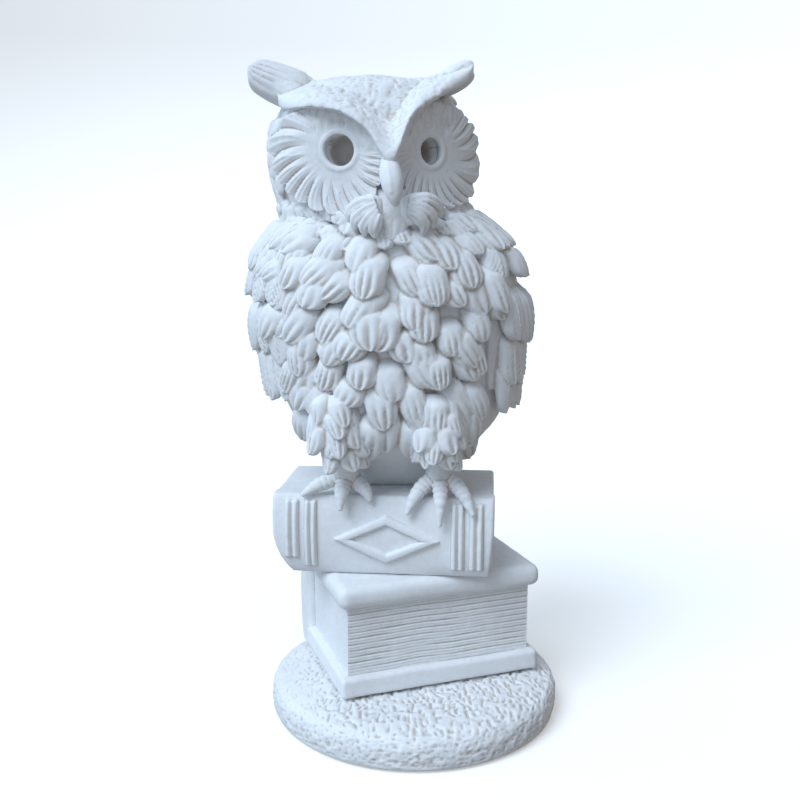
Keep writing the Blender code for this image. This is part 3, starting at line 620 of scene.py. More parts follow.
def turned(points, centre, degrees):
    c, s = math.cos(math.radians(degrees)), math.sin(math.radians(degrees))
    x, y = points[..., 0] * c - points[..., 1] * s, points[..., 0] * s + points[..., 1] * c
    return np.stack([x + centre[0], y + centre[1], points[..., 2]], -1)


def soft_block(name, half, bottom, top, edge, centre, degrees, grain=0.10, step=0.9, warp=0.25):
    """A cast board: a closed block with rolled edges and slightly uneven faces."""
    work = bmesh.new()
    bmesh.ops.create_cube(work, size=1.0)
    for vert in work.verts:
        vert.co = (vert.co.x * 2 * half[0], vert.co.y * 2 * half[1],
                   (bottom + top) / 2 + vert.co.z * (top - bottom))
    bmesh.ops.bevel(work, geom=list(work.edges), offset=edge, offset_type="OFFSET", segments=5,
                    profile=0.5, affect="EDGES", clamp_overlap=True)
    for axis, extent in ((0, half[0]), (1, half[1]), (2, None)):
        low, high = (-extent, extent) if extent else (bottom, top)
        cuts = int((high - low - 2 * edge) / step)
        for i in range(1, cuts):
            at = low + edge + (high - low - 2 * edge) * i / cuts
            normal = [0, 0, 0]
            normal[axis] = 1
            spot = [0, 0, (bottom + top) / 2]
            spot[axis] = at
            bmesh.ops.bisect_plane(work, geom=work.verts[:] + work.edges[:] + work.faces[:],
                                   plane_co=spot, plane_no=normal)
    mesh = bpy.data.meshes.new(name)
    work.to_mesh(mesh)
    work.free()
    obj = link(name, mesh)
    co = np.zeros(len(mesh.vertices) * 3, np.float32)
    mesh.vertices.foreach_get("co", co)
    p = co.reshape(-1, 3).astype(float)
    bend = warp * noise(p * (1, 1, 0.4), 26, 13)
    p[:, 2] += np.where(p[:, 2] > (bottom + top) / 2, -abs(warp) + bend, 0.0)
    p[:, :2] *= 1 - 0.004 * (1 + noise(p, 18, 14))[:, None]
    p = turned(p, centre, degrees)
    mesh.vertices.foreach_set("co", (p * MM).astype(np.float32).ravel())
    outward(mesh)
    shade_smooth(mesh)
    roughen(obj, lambda q, n: grain * (0.8 * noise(q, 5, 15) + 0.5 * noise(q, 1.8, 16)) - grain)
    return obj


def take_solid(shape, obj):
    """Moves a finished block's faces into shape and removes the block."""
    points = vertex_arrays(obj.data)[0]
    start = shape.count
    shape.points.append(points)
    shape.count += len(points)
    for face in obj.data.polygons:
        corners = [start + v for v in face.vertices]
        if len(corners) == 4:
            shape.quads.append(np.array([corners]))
        else:
            fan = [(corners[0], corners[k], corners[k + 1]) for k in range(1, len(corners) - 1)]
            shape.tris.append(np.array(fan))
    bpy.data.objects.remove(obj, do_unlink=True)


def book_frame(node, turn):
    """Centre, half sizes, underside and top of a turned block, from its upright box."""
    low, high = box_mm(node)
    c, s = abs(math.cos(math.radians(turn))), abs(math.sin(math.radians(turn)))
    across, deep = (high - low)[:2] / 2
    det = c * c - s * s
    half = ((across * c - deep * s) / det, (deep * c - across * s) / det)
    return (low + high)[:2] / 2, half, low[2], high[2]


LOW_TURN = 19.5
UP_TURN = -5.5


def page_lines(z, low, high, many, along, seed):
    """Depth of the hand-cut page lines at height z and distance along the edge."""
    pitch = (high - low) / many
    sway = 0.42 * noise(np.stack([along, z * 0.3, 0 * z + seed], -1), 14, 17)
    phase = (z - low + sway) / pitch
    near = np.abs(phase - np.round(phase)) * pitch
    inside = (phase > 0.4) & (phase < many - 0.4)
    broken = 0.50 + 0.55 * noise(np.stack([along, np.round(phase) * 9.0, 0 * z], -1), 9, 18)
    fine = 0.05 * np.cos(phase * 4 * np.pi)
    return np.where(inside, 0.46 * broken * np.exp(-(near / 0.38) ** 2), 0.0) + fine


def add_page_block(shape, x_half, y_front, y_back, low, high, front_cut, step=0.42):
    """A block of pages as closed rings of points round it at each height."""
    levels = np.linspace(low, high, int((high - low) / 0.22))
    along_x = np.arange(-x_half, x_half + 1e-6, step)
    along_y = np.arange(y_front, y_back + 1e-6, step)

    def side(x, y, z):
        return np.stack(np.broadcast_arrays(x, y, z), -1)

    rings = []
    for z in levels:
        front = side(along_x, y_front + front_cut(along_x, np.full(len(along_x), z)), z)
        right = side(x_half, along_y, z)[1:-1]
        back = side(along_x[::-1], y_back, z)
        left = side(-x_half, along_y[::-1], z)[1:-1]
        rings.append(np.concatenate([front, right, back, left]))
    add_loft(shape, rings)


def make_lower_book():
    centre, half, low, high = book_frame("lower_book_bottom_board", LOW_TURN)
    board = soft_block("lower_book_base_cover", half, low, high, 1.6, centre, LOW_TURN)
    finish_piece(board, "lower_book_bottom_board")
    page_low, page_high = high, heights("lower_book_page_block")[1]
    centre2, half2, low2, high2 = book_frame("lower_book_top_board", LOW_TURN)
    board = soft_block("lower_book_top_cover", half2, low2, high2, 3.4, centre2, LOW_TURN, warp=0.1)
    finish_piece(board, "lower_book_top_board")

    inset = 3.4
    shape = Shape()

    def cut(along, z):
        return page_lines(z, page_low, page_high, 11, along, 0.0)

    add_page_block(shape, half[0] - inset, -half[1] + inset, half[1] - 4.6,
                   page_low - 0.2, page_high + 0.2, cut)
    for i, points in enumerate(shape.points):
        shape.points[i] = turned(points, centre, LOW_TURN)
    pages = solid("lower_book_pages", shape, PAGE_CREASE)
    roughen(pages, cast_grain(0.06))
    finish_piece(pages, "lower_book_page_block")

    shape = Shape()
    start, reach, middle = half2[1] + 0.2, (high2 - low) / 2, (high2 + low) / 2
    t = np.radians(np.linspace(-89, 89, 70))
    bulge = 6.3
    profile = np.stack([start + bulge * np.cos(t) ** 0.8, middle + reach * np.sin(t)], -1)
    inner = np.stack([np.full(30, start - 5.0), np.linspace(high2 - 0.4, low + 0.4, 30)], -1)
    profile = np.concatenate([profile, inner])
    rings = []
    for x in np.linspace(-half[0] + 0.2, half[0] - 0.2, 150):
        end = smoothstep(half[0] - 0.2, half[0] - 2.2, abs(x))
        y = start + (profile[:, 0] - start) * (0.82 + 0.18 * end)
        z = middle + (profile[:, 1] - middle) * (0.97 + 0.03 * end)
        rings.append(np.stack([np.full(len(profile), x), y, z], -1))
    add_loft(shape, rings)
    shape.points[0] = turned(shape.points[0], centre, LOW_TURN)
    spine = solid("lower_book_rounded_spine", shape, PAGE_CREASE)
    roughen(spine, cast_grain(0.08))
    finish_piece(spine, "lower_book_spine")


UP_CENTRE = np.array([-9.8, 5.0])
UP_HALF_WIDE = 40.4
UP_HALF_DEEP = 20.5
UP_BULGE = 4.2
RELIEF = 1.7
UP_LOW, UP_HIGH = heights("upper_book_spine")


def barrel(z):
    """How far the upper book's spine stands in front of its boards."""
    t = np.clip(np.abs((z - (UP_LOW + UP_HIGH) / 2) / ((UP_HIGH - UP_LOW) / 2)), 0, 1) * 0.97
    return UP_BULGE * np.sqrt(np.clip(1 - t * t, 0, 1)) - 0.4 * smoothstep(0.93, 0.97, t)


def spine_relief(name, node, corners, front, centre):
    """A raised strip of two ridges on the barrel, over x and z limits."""
    (x0, z0), (x1, z1) = corners
    u = np.linspace(0, 1, 60)[None, :]
    z = np.linspace(z0, z1, 90)[:, None]
    x, z = np.broadcast_arrays(x0 + (x1 - x0) * u, z)
    uu = np.broadcast_to(u, x.shape)
    edge = np.sqrt(np.clip(1 - (2 * uu - 1) ** 4, 0, 1))
    end = smoothstep(0, 0.9, z - z0) * smoothstep(0, 0.9, z1 - z)
    groove = 0.62 * np.abs(np.cos(np.pi * 2 * uu)) ** 3
    rise = RELIEF * (edge * (0.35 + 0.65 * end) - groove)
    rise = rise + 0.10 * noise(np.stack([x, z, 0 * x], -1), 3.5, 19)
    out = np.stack([x, front - barrel(z) - np.maximum(rise, 0.05), z], -1)
    back = np.stack([x, front - barrel(z) + 0.6, z], -1)
    shape = Shape()
    add_slab(shape, back, out)
    shape.points[0] = turned(shape.points[0], centre, UP_TURN)
    finish_piece(solid(name, shape), node)


def make_upper_book():
    centre, wide, deep = UP_CENTRE, UP_HALF_WIDE, UP_HALF_DEEP
    binding = Shape()
    for node, edge in (("upper_book_bottom_board", 1.1), ("upper_book_top_board", 1.2)):
        z0, z1 = heights(node)
        tuck = 3.1 if node.endswith("bottom_board") else 0.0
        mid = centre + turned(np.array([tuck, 0.9, 0.0]), (0, 0), UP_TURN)[:2]
        board = soft_block(node + "_solid", (wide - 0.3 - tuck, deep - 0.9), z0, z1, edge, mid, UP_TURN,
                           warp=0.04, grain=0.05)
        take_solid(binding, board)
    z0, z1 = heights("upper_book_page_block")
    shape = Shape()
    front, back = -deep + 5.3, deep - 2.4

    def cut(along, z):
        return page_lines(z, z0, z1, 9, along, 4.0)

    add_page_block(shape, wide - 2.4, -back, -front, z0, z1, cut)
    shape.points[0] = turned(shape.points[0], (0, 0), 180.0)
    shape.points[0] = turned(shape.points[0], centre, UP_TURN)
    pages = solid("upper_book_pages", shape, PAGE_CREASE)
    roughen(pages, cast_grain(0.06))
    finish_piece(pages, "upper_book_page_block")

    levels = UP_LOW + (UP_HIGH - UP_LOW) * (0.5 - 0.5 * np.cos(np.pi * np.linspace(0, 1, 90)))
    outer = np.stack([-deep - barrel(levels), np.where(levels < UP_LOW + 0.2, UP_LOW - 0.35, levels)], -1)
    inner = np.stack([np.full(40, -deep + 4.7), np.linspace(UP_HIGH, UP_LOW - 0.3, 40)], -1)
    profile = np.concatenate([outer, inner])
    tuck = np.clip(1 - (profile[:, 1] - UP_LOW) / 17.0, 0, 1) ** 2
    x_left = -wide + 6.5 * tuck
    x_right = wide - 1.5 * tuck ** 0.5
    rings = []
    for t in np.linspace(0, 1, 240):
        x = x_left + (x_right - x_left) * t
        end = min(t, 1 - t) * 81.0
        roll = 1 - math.sqrt(max(1 - (1 - min(end / 1.6, 1)) ** 2, 0))
        y = profile[:, 0] + roll * np.where(profile[:, 0] < -deep + 2, 1.3, 0.0)
        rings.append(np.stack([x, y, profile[:, 1]], -1))
    spine = Shape()
    add_loft(spine, rings)
    binding.add(turned(spine.points[0], centre, UP_TURN), spine.quads[0], spine.tris[0])
    cover = fused("upper_book_binding", binding, rounds=4)
    roughen(cover, lambda p, n: 0.12 * noise(p, 7, 20) + 0.05 * noise(p, 2, 21) - 0.06)
    finish_piece(cover, "upper_book_bottom_board", "upper_book_top_board", "upper_book_spine")

    spans = ((-35.9, -30.0), (-28.7, -23.4), (24.6, 30.0), (31.1, 36.9))
    for k, (x0, x1) in enumerate(spans):
        node = f"upper_book_band_{k + 1}"
        z_low, z_high = heights(node)
        spine_relief(f"upper_book_spine_band_{k + 1}", node, ((x0, z_low), (x1, z_high)), -deep, centre)
    make_diamond(centre, -deep)


def make_diamond(centre, front):
    """Raised lozenge frame, rounded in section, open in the middle."""
    cx, cz = 1.6, 71.6
    outer, inner = (19.4, 9.4), (12.4, 5.3)
    per_side, across = 60, 12
    ring_sets = []
    for s in np.linspace(0, 1, across):
        half = (outer[0] + (inner[0] - outer[0]) * s, outer[1] + (inner[1] - outer[1]) * s)
        corners = np.array([(half[0], 0), (0, half[1]), (-half[0], 0), (0, -half[1]), (half[0], 0)])
        t = np.linspace(0, 4, 4 * per_side, endpoint=False)
        k = t.astype(int)
        f = (t - k)[:, None]
        xz = corners[k] + (corners[k + 1] - corners[k]) * f
        x, z = cx + xz[:, 0], cz + xz[:, 1]
        rise = RELIEF * math.sqrt(max(1 - abs(2 * s - 1) ** 3, 0))
        ring_sets.append(np.stack([x, front - barrel(z) - np.maximum(rise, 0.02), z], -1))
    under = []
    for ring in ring_sets[::-1]:
        ring = ring.copy()
        ring[:, 1] = front - barrel(ring[:, 2]) + 0.5
        under.append(ring)
    grid = np.array(ring_sets + under)
    rows, cols = grid.shape[:2]
    quads = grid_quads(rows + 1, cols, True) % (rows * cols)
    shape = Shape()
    shape.add(turned(grid.reshape(-1, 3), centre, UP_TURN), quads)
    obj = solid("upper_book_lozenge", shape)
    roughen(obj, cast_grain(0.07))
    finish_piece(obj, "upper_book_diamond")


# ---------------------------------------------------------------- the plumage


def breast_lean(angle, z):
    """Breast feathers lean away from a parting just left of the middle."""
    if angle < -2.0:
        return -(8 + 28 * min((-2.0 - angle) / 35.0, 1.0))
    return 4 + 15 * min((angle + 2.0) / 40.0, 1.0)


def make_torso():
    """The smooth body, with a web of plaster down to the book between the legs."""
    shape = Shape()
    add_trunk(shape, TRUNK[0, 0], NECK, rings=110, sides=170, inset=0.4)
    rings = []
    turn = np.linspace(0, 2 * np.pi, 60, endpoint=False)
    # The web's front sweeps back as it goes down
    for t in np.linspace(0, 1, 30):
        z = 116.0 - 29.1 * t
        front = np.interp(t, (0, 0.35, 0.7, 1.0), (-24.5, -20.5, -10.0, -1.5))
        half_wide = np.interp(t, (0, 0.4, 0.8, 1.0), (13.0, 14.0, 15.5, 17.0))
        lobe = np.sign(np.cos(turn)) * np.abs(np.cos(turn)) ** 0.7
        rings.append(np.stack([-8.0 + half_wide * np.sin(turn), (front + 2.0) / 2 - (2.0 - front) / 2 * lobe,
                               np.full(60, z)], -1))
    add_loft(shape, rings)
    obj = fused("torso_cast", shape, voxel=0.6, rounds=12)
    roughen(obj, lambda p, n: 0.14 * noise(p, 8, 22) + 0.06 * noise(p, 2.2, 23) - 0.1)
    finish_piece(obj, "torso")


def make_breast():
    rng = np.random.default_rng(SEED)
    shape = Shape()
    add_patch(shape, (-56, 36), (112, 184), under=-2.2, over=0.5, cols=70, rows=50)

    def span(z):
        left = np.interp(z, (108, 118, 130, 150, 170, 190), (30, 40, 46, 46, 56, 60))
        right = np.interp(z, (108, 118, 130, 150, 168, 190), (27, 34, 36, 37, 48, 62))
        return -float(left), float(right)

    feather_rows(shape, (187.2, 184.0), span, breast_lean, 8.6, 6.2, rng, thick=2.0, base=0.2, tilt=2.0,
                 barbs=3, barb_depth=0.7, nu=18, nv=20, loose=1.4)
    feather_rows(shape, np.arange(182.5, 111.0, -8.1), span, breast_lean, 15.5, 9.8, rng, thick=3.7, base=0.1,
                 tilt=3.0, barbs=4, barb_depth=1.1, loose=1.25)
    cast_piece("breast_plumage", shape, 0.07, *[f"breast_row_{k}" for k in range(1, 8)], rounds=2)


def make_wing(name, side, inner, roots, nodes, seed):
    """A folded wing: plump shoulder coverts above long ribbed flight coverts.

    Each entry of roots is one row: height, length, width, thickness, tilt, midrib.
    """
    rng = np.random.default_rng(SEED + seed)
    shape = Shape()
    a = np.linspace(0, 1, 50)[None, :]
    z = np.linspace(126.0, 182.0, 60)[:, None]
    start = np.interp(z, (126, 150, 170, 182), (inner + 8, inner + 4, inner, inner - 4))
    angle = side * (start + (113.0 - start) * a)
    z = np.broadcast_to(z, angle.shape)
    under, over = (skin(angle, z, np.full(angle.shape, out))[0] for out in (-2.2, 1.2))
    add_slab(shape, under, over)
    for level, length, width, thick, tilt, rachis in roots:
        edge = (inner + 9, inner + 5, inner, inner - 5)
        first = float(np.interp(level - length * 0.6, (120, 150, 170, 182), edge))
        span = (first + 2.5, 111.0) if side > 0 else (-111.0, -first - 2.5)
        feather_rows(shape, [level], lambda z, span=span: span, lambda a, z: side * 5.0, length, width, rng,
                     thick=thick, base=0.9, tilt=tilt, barbs=4, barb_depth=0.95 if rachis else 1.0,
                     rachis=rachis, loose=0.55, nu=34, nv=44)
    cast_piece(name, shape, 0.06, *nodes, voxel=0.4, rounds=2)


def make_back():
    rng = np.random.default_rng(SEED + 5)
    shape = Shape()
    add_patch(shape, (110, 250), (126, 184), under=-2.2, over=0.5, cols=90, rows=50)
    feather_rows(shape, np.arange(188.0, 146.0, -9.4), lambda z: (112, 248), lambda a, z: 0.0, 17.0, 10.6,
                 rng, thick=2.0, base=0.2, tilt=2.2, barbs=3, barb_depth=0.3, rachis=0.3, tip=2.4)
    cast_piece("mantle_plumage", shape, 0.06, *[f"mantle_row_{k}" for k in (1, 2, 3)], voxel=0.5)
    for suffix, side in (("l", 1), ("r", -1)):
        shape = Shape()
        for k in range(6):
            start = 180 + side * (8 + 9.5 * k)
            add_feather(shape, start, 138.0 - 0.6 * k, -side * (4 + 4.0 * k), 37.0 - 2.6 * k, 9.6, thick=2.2,
                        base=0.2 + 0.45 * k, tilt=1.6, barbs=3, barb_depth=0.8, rachis=0.6, tip=4.0,
                        nu=34, nv=80, phase=k)
        cast_piece(f"wing_tip_plumage_{suffix}", shape, 0.06, f"wing_tip_{suffix}", voxel=0.45)


def make_tail():
    """Three pairs of long feathers, each pair ending a little higher than the last."""
    shape = Shape()
    for k, x in enumerate((-8.0, -8.0, -3.4, -12.6, 0.4, -16.4)):
        pair = k // 2
        drop = 0.0 if k < 2 else 1.0 + 1.2 * pair
        path = [(x, 31.5 + 0.3 * k, 110), (x, 32.5 - 0.35 * pair, 100), (x, 32.0 - 0.35 * pair, 88),
                (x, 31.2 - 0.3 * pair, 74.5 + drop)]
        add_tube(shape, path, [3.6, 4.2, 4.0, 2.6], [3.6, 3.2, 2.6, 1.6], sides=24, steps=50)
    cast_piece("tail_plumage", shape, 0.07, "tail")


# ---------------------------------------------------------------------- head

EYE_LEVEL = 207.4
EYE_RADII = {-1: 5.1, 1: 4.4}
EYE_DEPTH = 10.5
DISC_RADIUS = 34.5
# The head above this height is lowered by this factor, to stay inside the CAD box
TUFT_FOOT = 230.0
TUFT_SCALE = 0.92


def eye_angle(side):
    return HEAD_TURN + side * 26.0


def eye_axis(side):
    point, normal = skin(eye_angle(side), EYE_LEVEL)
    normal = np.array([normal[0], normal[1], 0.0])
    return point, normal / np.linalg.norm(normal)


# Lower lip of the brows seen from the front (x, y, z), then the line they rise to
BROW_LIP = np.array((
    (-46.6, -16.5, 223.2), (-45.0, -21.0, 220.4), (-39.4, -28.2, 220.6), (-33.0, -33.6, 221.0),
    (-25.8, -37.0, 219.4), (-19.4, -38.0, 216.6), (-14.6, -38.2, 211.8), (-11.6, -38.2, 205.2),
    (-8.2, -39.2, 199.4), (-5.4, -38.2, 206.0), (-4.0, -37.6, 212.8), (-1.2, -35.8, 218.8),
    (4.2, -31.8, 222.6), (10.2, -26.0, 226.0), (15.4, -20.0, 228.6), (18.0, -16.2, 230.4),
    (19.3, -13.4, 233.4),
))
CROWN_LINE = np.array((
    (-46.2, -11.0, 225.0), (-44.4, -9.0, 228.8), (-39.2, -6.0, 231.5), (-32.9, -4.0, 232.9),
    (-25.8, -3.0, 233.6), (-20.1, -2.5, 233.8), (-16.1, -2.5, 233.8), (-12.7, -2.5, 233.8),
    (-9.6, -2.5, 233.8), (-6.6, -3.0, 233.7), (-4.0, -3.5, 233.6), (-0.6, -5.0, 233.5),
    (3.8, -7.0, 233.7), (9.8, -8.5, 234.9), (15.0, -9.5, 236.6), (17.6, -10.5, 237.2), (19.0, -11.0, 237.3),
))


def add_visor(shape):
    """The crown running down over both brows to their overhanging lips."""
    fine = np.linspace(0, len(BROW_LIP) - 1, 150)
    knots = np.arange(len(BROW_LIP))
    lip = np.stack([np.interp(fine, knots, BROW_LIP[:, c]) for c in range(3)], -1)
    top = np.stack([np.interp(fine, knots, CROWN_LINE[:, c]) for c in range(3)], -1)
    for line in (lip, top):
        for _ in range(60):
            line[1:-1] = (line[:-2] + 2 * line[1:-1] + line[2:]) / 4
    t = np.linspace(0, 1, 60)[None, :, None]
    over = lip[:, None] + (top - lip)[:, None] * t
    x = over[..., 0]
    middle = np.exp(-((x + 9.0) / 7.0) ** 2)
    bulge = np.sin(np.pi * t[..., 0] ** 0.62)
    over[..., 1] -= (2.1 + 5.4 * middle) * bulge
    over[..., 2] += (2.2 - 2.0 * middle) * bulge
    end = np.minimum(np.arange(len(fine)), len(fine) - 1 - np.arange(len(fine)))[:, None] / 14.0
    deepen = smoothstep(0.06, 0.50, t[..., 0])
    thick = 3.0 + 6.0 * middle + (15.0 - 4.0 * middle) * deepen
    thick = thick * np.clip(0.25 + 0.75 * end, 0.25, 1.0)
    slim = smoothstep(6.0, 16.0, x) * 0.62
    thick = thick * (1 - slim)
    under = over + np.stack([0 * thick, thick, -0.10 * thick], -1)
    add_slab(shape, under, over)


def make_head():
    rng = np.random.default_rng(SEED + 9)
    shape = Shape()
    add_trunk(shape, NECK - 1.0, TRUNK[-1, 0] - 0.3, inset=0.4)
    add_visor(shape)
    dome = []
    ring = np.radians(np.linspace(0, 360, 80, endpoint=False))
    for tilt in np.radians(np.linspace(2, 88, 24)):
        reach = math.cos(tilt)
        dome.append(np.stack([-16.5 + 26.0 * reach * np.sin(ring), 3.0 - 25.0 * reach * np.cos(ring),
                              np.full(80, 227.0 + 7.4 * math.sin(tilt))], -1))
    add_loft(shape, dome)
    add_free_feather(shape, (-35.0, -12.5, 226.9), (-20.5, -0.5, 8.2), (0.05, -1, 0.35), 23.5, 14.2,
                     thick=3.0, tilt=0.6, under=3.4, barbs=5, barb_depth=0.55, tip=3.4, root=0.9,
                     nu=50, nv=60)
    add_free_feather(shape, (-38.0, -16.0, 224.5), (-16.0, 3.0, 9.0), (-0.2, -1, 0.1), 15.5, 8.0, thick=2.0,
                     tilt=0.4, under=2.4, barbs=4, barb_depth=0.4, tip=2.6, root=0.9, nu=40, nv=40)
    add_free_feather(shape, (8.0, -14.5, 230.6), (10.5, 1.5, 7.2), (0.15, -1, 0.2), 13.0, 6.6, thick=2.0,
                     tilt=0.4, under=2.6, barbs=3, barb_depth=0.45, tip=2.0, root=0.95, nu=40, nv=40)
    add_free_feather(shape, (8.5, -17.5, 228.6), (10.5, 4.0, 4.6), (0.15, -1, 0.2), 12.3, 6.2, thick=2.2,
                     tilt=0.3, under=2.4, barbs=3, barb_depth=0.45, tip=2.4, root=0.95, nu=40, nv=40)
    for k, level in enumerate(np.arange(229.4, 188.0, -4.5)):
        first, last = (87.0, 296.0) if level < 222 else (94.0, 268.0)
        many = int(math.radians(last - first) * float(girth(level)) / 5.6)
        for angle in places(first, last, many, 0.2 if k % 2 else 0.7):
            add_feather(shape, angle + rng.normal(0, 0.8), level + rng.normal(0, 0.4), rng.normal(0, 6),
                        8.2, 6.2, thick=1.2, base=0.1, tilt=1.1, under=1.0, barbs=2, barb_depth=0.3,
                        nu=10, nv=12, phase=rng.random() * 6)
    obj = fused("head_cast", shape, voxel=0.44, rounds=4)
    for vertex in obj.data.vertices:
        height_mm = vertex.co.z / MM
        if height_mm > TUFT_FOOT:
            vertex.co.z = (TUFT_FOOT + TUFT_SCALE * (height_mm - TUFT_FOOT)) * MM
    for side in (-1, 1):
        point, out = eye_axis(side)
        across = np.cross(out, (0, 0, 1))
        turn = np.linspace(0, 2 * np.pi, 64, endpoint=False)
        rings = [point + out * reach + EYE_RADII[side] * (
            across * np.cos(turn)[:, None] + np.array([0, 0, 1.0]) * np.sin(turn)[:, None])
            for reach in (5.0, -EYE_DEPTH)]
        bore = Shape()
        add_loft(bore, rings)
        helper = link("socket_cutter", bore.mesh("socket_cutter"))
        outward(helper.data)
        cut = obj.modifiers.new("socket", "BOOLEAN")
        cut.operation = "DIFFERENCE"
        cut.solver = "EXACT"
        cut.object = helper
        applied(obj)
        bpy.data.objects.remove(helper, do_unlink=True)

    def height(p, n):
        crown = (0.5 + 0.5 * smoothstep(212, 222, p[:, 2])) * smoothstep(12.0, 4.0, p[:, 1])
        crown = crown * smoothstep(-43.0, -35.0, p[:, 0]) * smoothstep(16.0, 6.0, p[:, 0])
        warp = p + 1.0 * np.stack([noise(p, 4, 31), noise(p, 4, 32), noise(p, 4, 33)], -1)
        stipple = np.clip(noise(warp * (1.0, 0.6, 0.6), 1.5, 24), -0.45, 0.8)
        mottled = 0.22 * noise(p, 3.2, 34) + 0.12 * noise(p, 0.9, 37)
        return crown * (0.34 * stipple + mottled) + 0.07 * noise(p, 4, 25) + 0.04 * noise(p, 1.3, 26)

    roughen(obj, height)
    shade_smooth(obj.data)
    finish_piece(obj, "skull", "forehead", "brow_tuft_l", "brow_tuft_r", "nape_ruff")


def make_disc(name, node, side, seed):
    """Dished mask round an eye: vanes fan below and outside it, a rough hollow lies under the brow."""
    rings, sides = 72, 420
    eye = EYE_RADII[side]
    t = np.linspace(0, 1, rings)[:, None]
    turn = np.linspace(0, 2 * np.pi, sides, endpoint=False)[None, :]
    c, s = np.cos(turn), np.sin(turn)
    reach_x = np.where(c > 0, 28.6 if side > 0 else 27.0, 14.6)
    reach_z = np.where(s > 0, 14.5, 20.8)
    reach = 1 / np.sqrt((c / reach_x) ** 2 + (s / reach_z) ** 2)
    fanned = smoothstep(0.55, 0.05, s - 0.35 * c)
    vanes = 24
    spread = turn * vanes / (2 * np.pi) + 0.30 * np.sin(turn * 3 + seed)
    spread = spread + (0.22 * np.sin(turn * 5 + seed) - side * 0.75) * t ** 1.4
    cell = spread - np.floor(spread)
    ridge = np.sqrt(np.clip(1 - np.abs(2 * cell - 1) ** 2.2, 0, 1))
    vary = np.sin(np.floor(spread) * 12.9898 + seed)
    reach = reach * (1 - fanned * (0.085 * (1 - ridge[-1:]) - 0.025 * vary[-1:]))
    dist = eye + (reach - eye) * t
    z = np.broadcast_to(EYE_LEVEL + dist * s, dist.shape)
    angle = eye_angle(side) + side * np.degrees(dist * c / DISC_RADIUS)
    dish = 1.3 + 3.3 * t ** 1.6
    hollow = 1.1 + 2.6 * t ** 1.5
    inner = smoothstep(0.2, 0.9, -c) * smoothstep(-0.9, 0.0, s)
    lift = dish * fanned + hollow * (1 - fanned) + 1.6 * inner * t
    show = smoothstep(0.26, 0.68, t)
    calm = 1 - 0.6 * smoothstep(0.55, 0.95, -c)
    lift = lift + fanned * show * (2.0 * ridge - 1.25 + 0.15 * vary) * (0.40 + 0.60 * t) * calm
    lift = lift - fanned * 0.30 * show * np.abs(np.sin(cell * 3 * np.pi)) * t
    lift = lift + 0.32 * np.exp(-((dist - eye - 0.9) / 0.8) ** 2)
    lift = lift - 3.0 * smoothstep(0.94, 1.0, t) ** 1.5 * fanned
    over = skin(angle, z, lift)[0]
    rough_here = (1 - fanned) * smoothstep(0.05, 0.4, t)
    flecks = np.clip(noise(over * (1.0, 1.0, 0.6), 1.6, 35), -0.4, 0.8)
    over = skin(angle, z, lift + rough_here * (0.42 * flecks + 0.42 * noise(over, 3.2, 36)))[0]
    under = skin(angle, z, np.full(angle.shape, -1.2))[0]
    n = rings * sides
    quads = grid_quads(rings, sides, True)
    j = np.arange(sides)
    k = (j + 1) % sides
    last = (rings - 1) * sides
    walls = np.concatenate([np.stack([j, k, k + n, j + n], -1),
                            np.stack([last + k, last + j, last + j + n, last + k + n], -1)])
    shape = Shape()
    shape.add(np.concatenate([under.reshape(-1, 3), over.reshape(-1, 3)]),
              np.concatenate([quads[:, ::-1], quads + n, walls]))
    obj = solid(name, shape)
    roughen(obj, cast_grain(0.06))
    finish_piece(obj, node)


def make_beak():
    path = np.array([(-9.0, -33.6, 206.0), (-8.9, -36.0, 202.6), (-8.6, -38.9, 199.4), (-8.0, -40.8, 196.0),
                     (-7.4, -41.6, 192.6), (-6.9, -41.0, 189.2)])
    width = np.array([2.0, 3.0, 3.6, 3.5, 2.5, 0.9])
    depth = np.array([2.0, 3.0, 3.8, 3.6, 2.5, 0.9])
    shape = Shape()
    add_tube(shape, path, width, depth, sides=48, steps=70)
    ridge = path[1:5] + np.array([-0.7, -0.9, 0.3])
    add_tube(shape, ridge, width[1:5] * 0.55, depth[1:5] * 0.8, sides=24, steps=40)
    cast_piece("beak_cast", shape, 0.05, "beak", voxel=0.3)


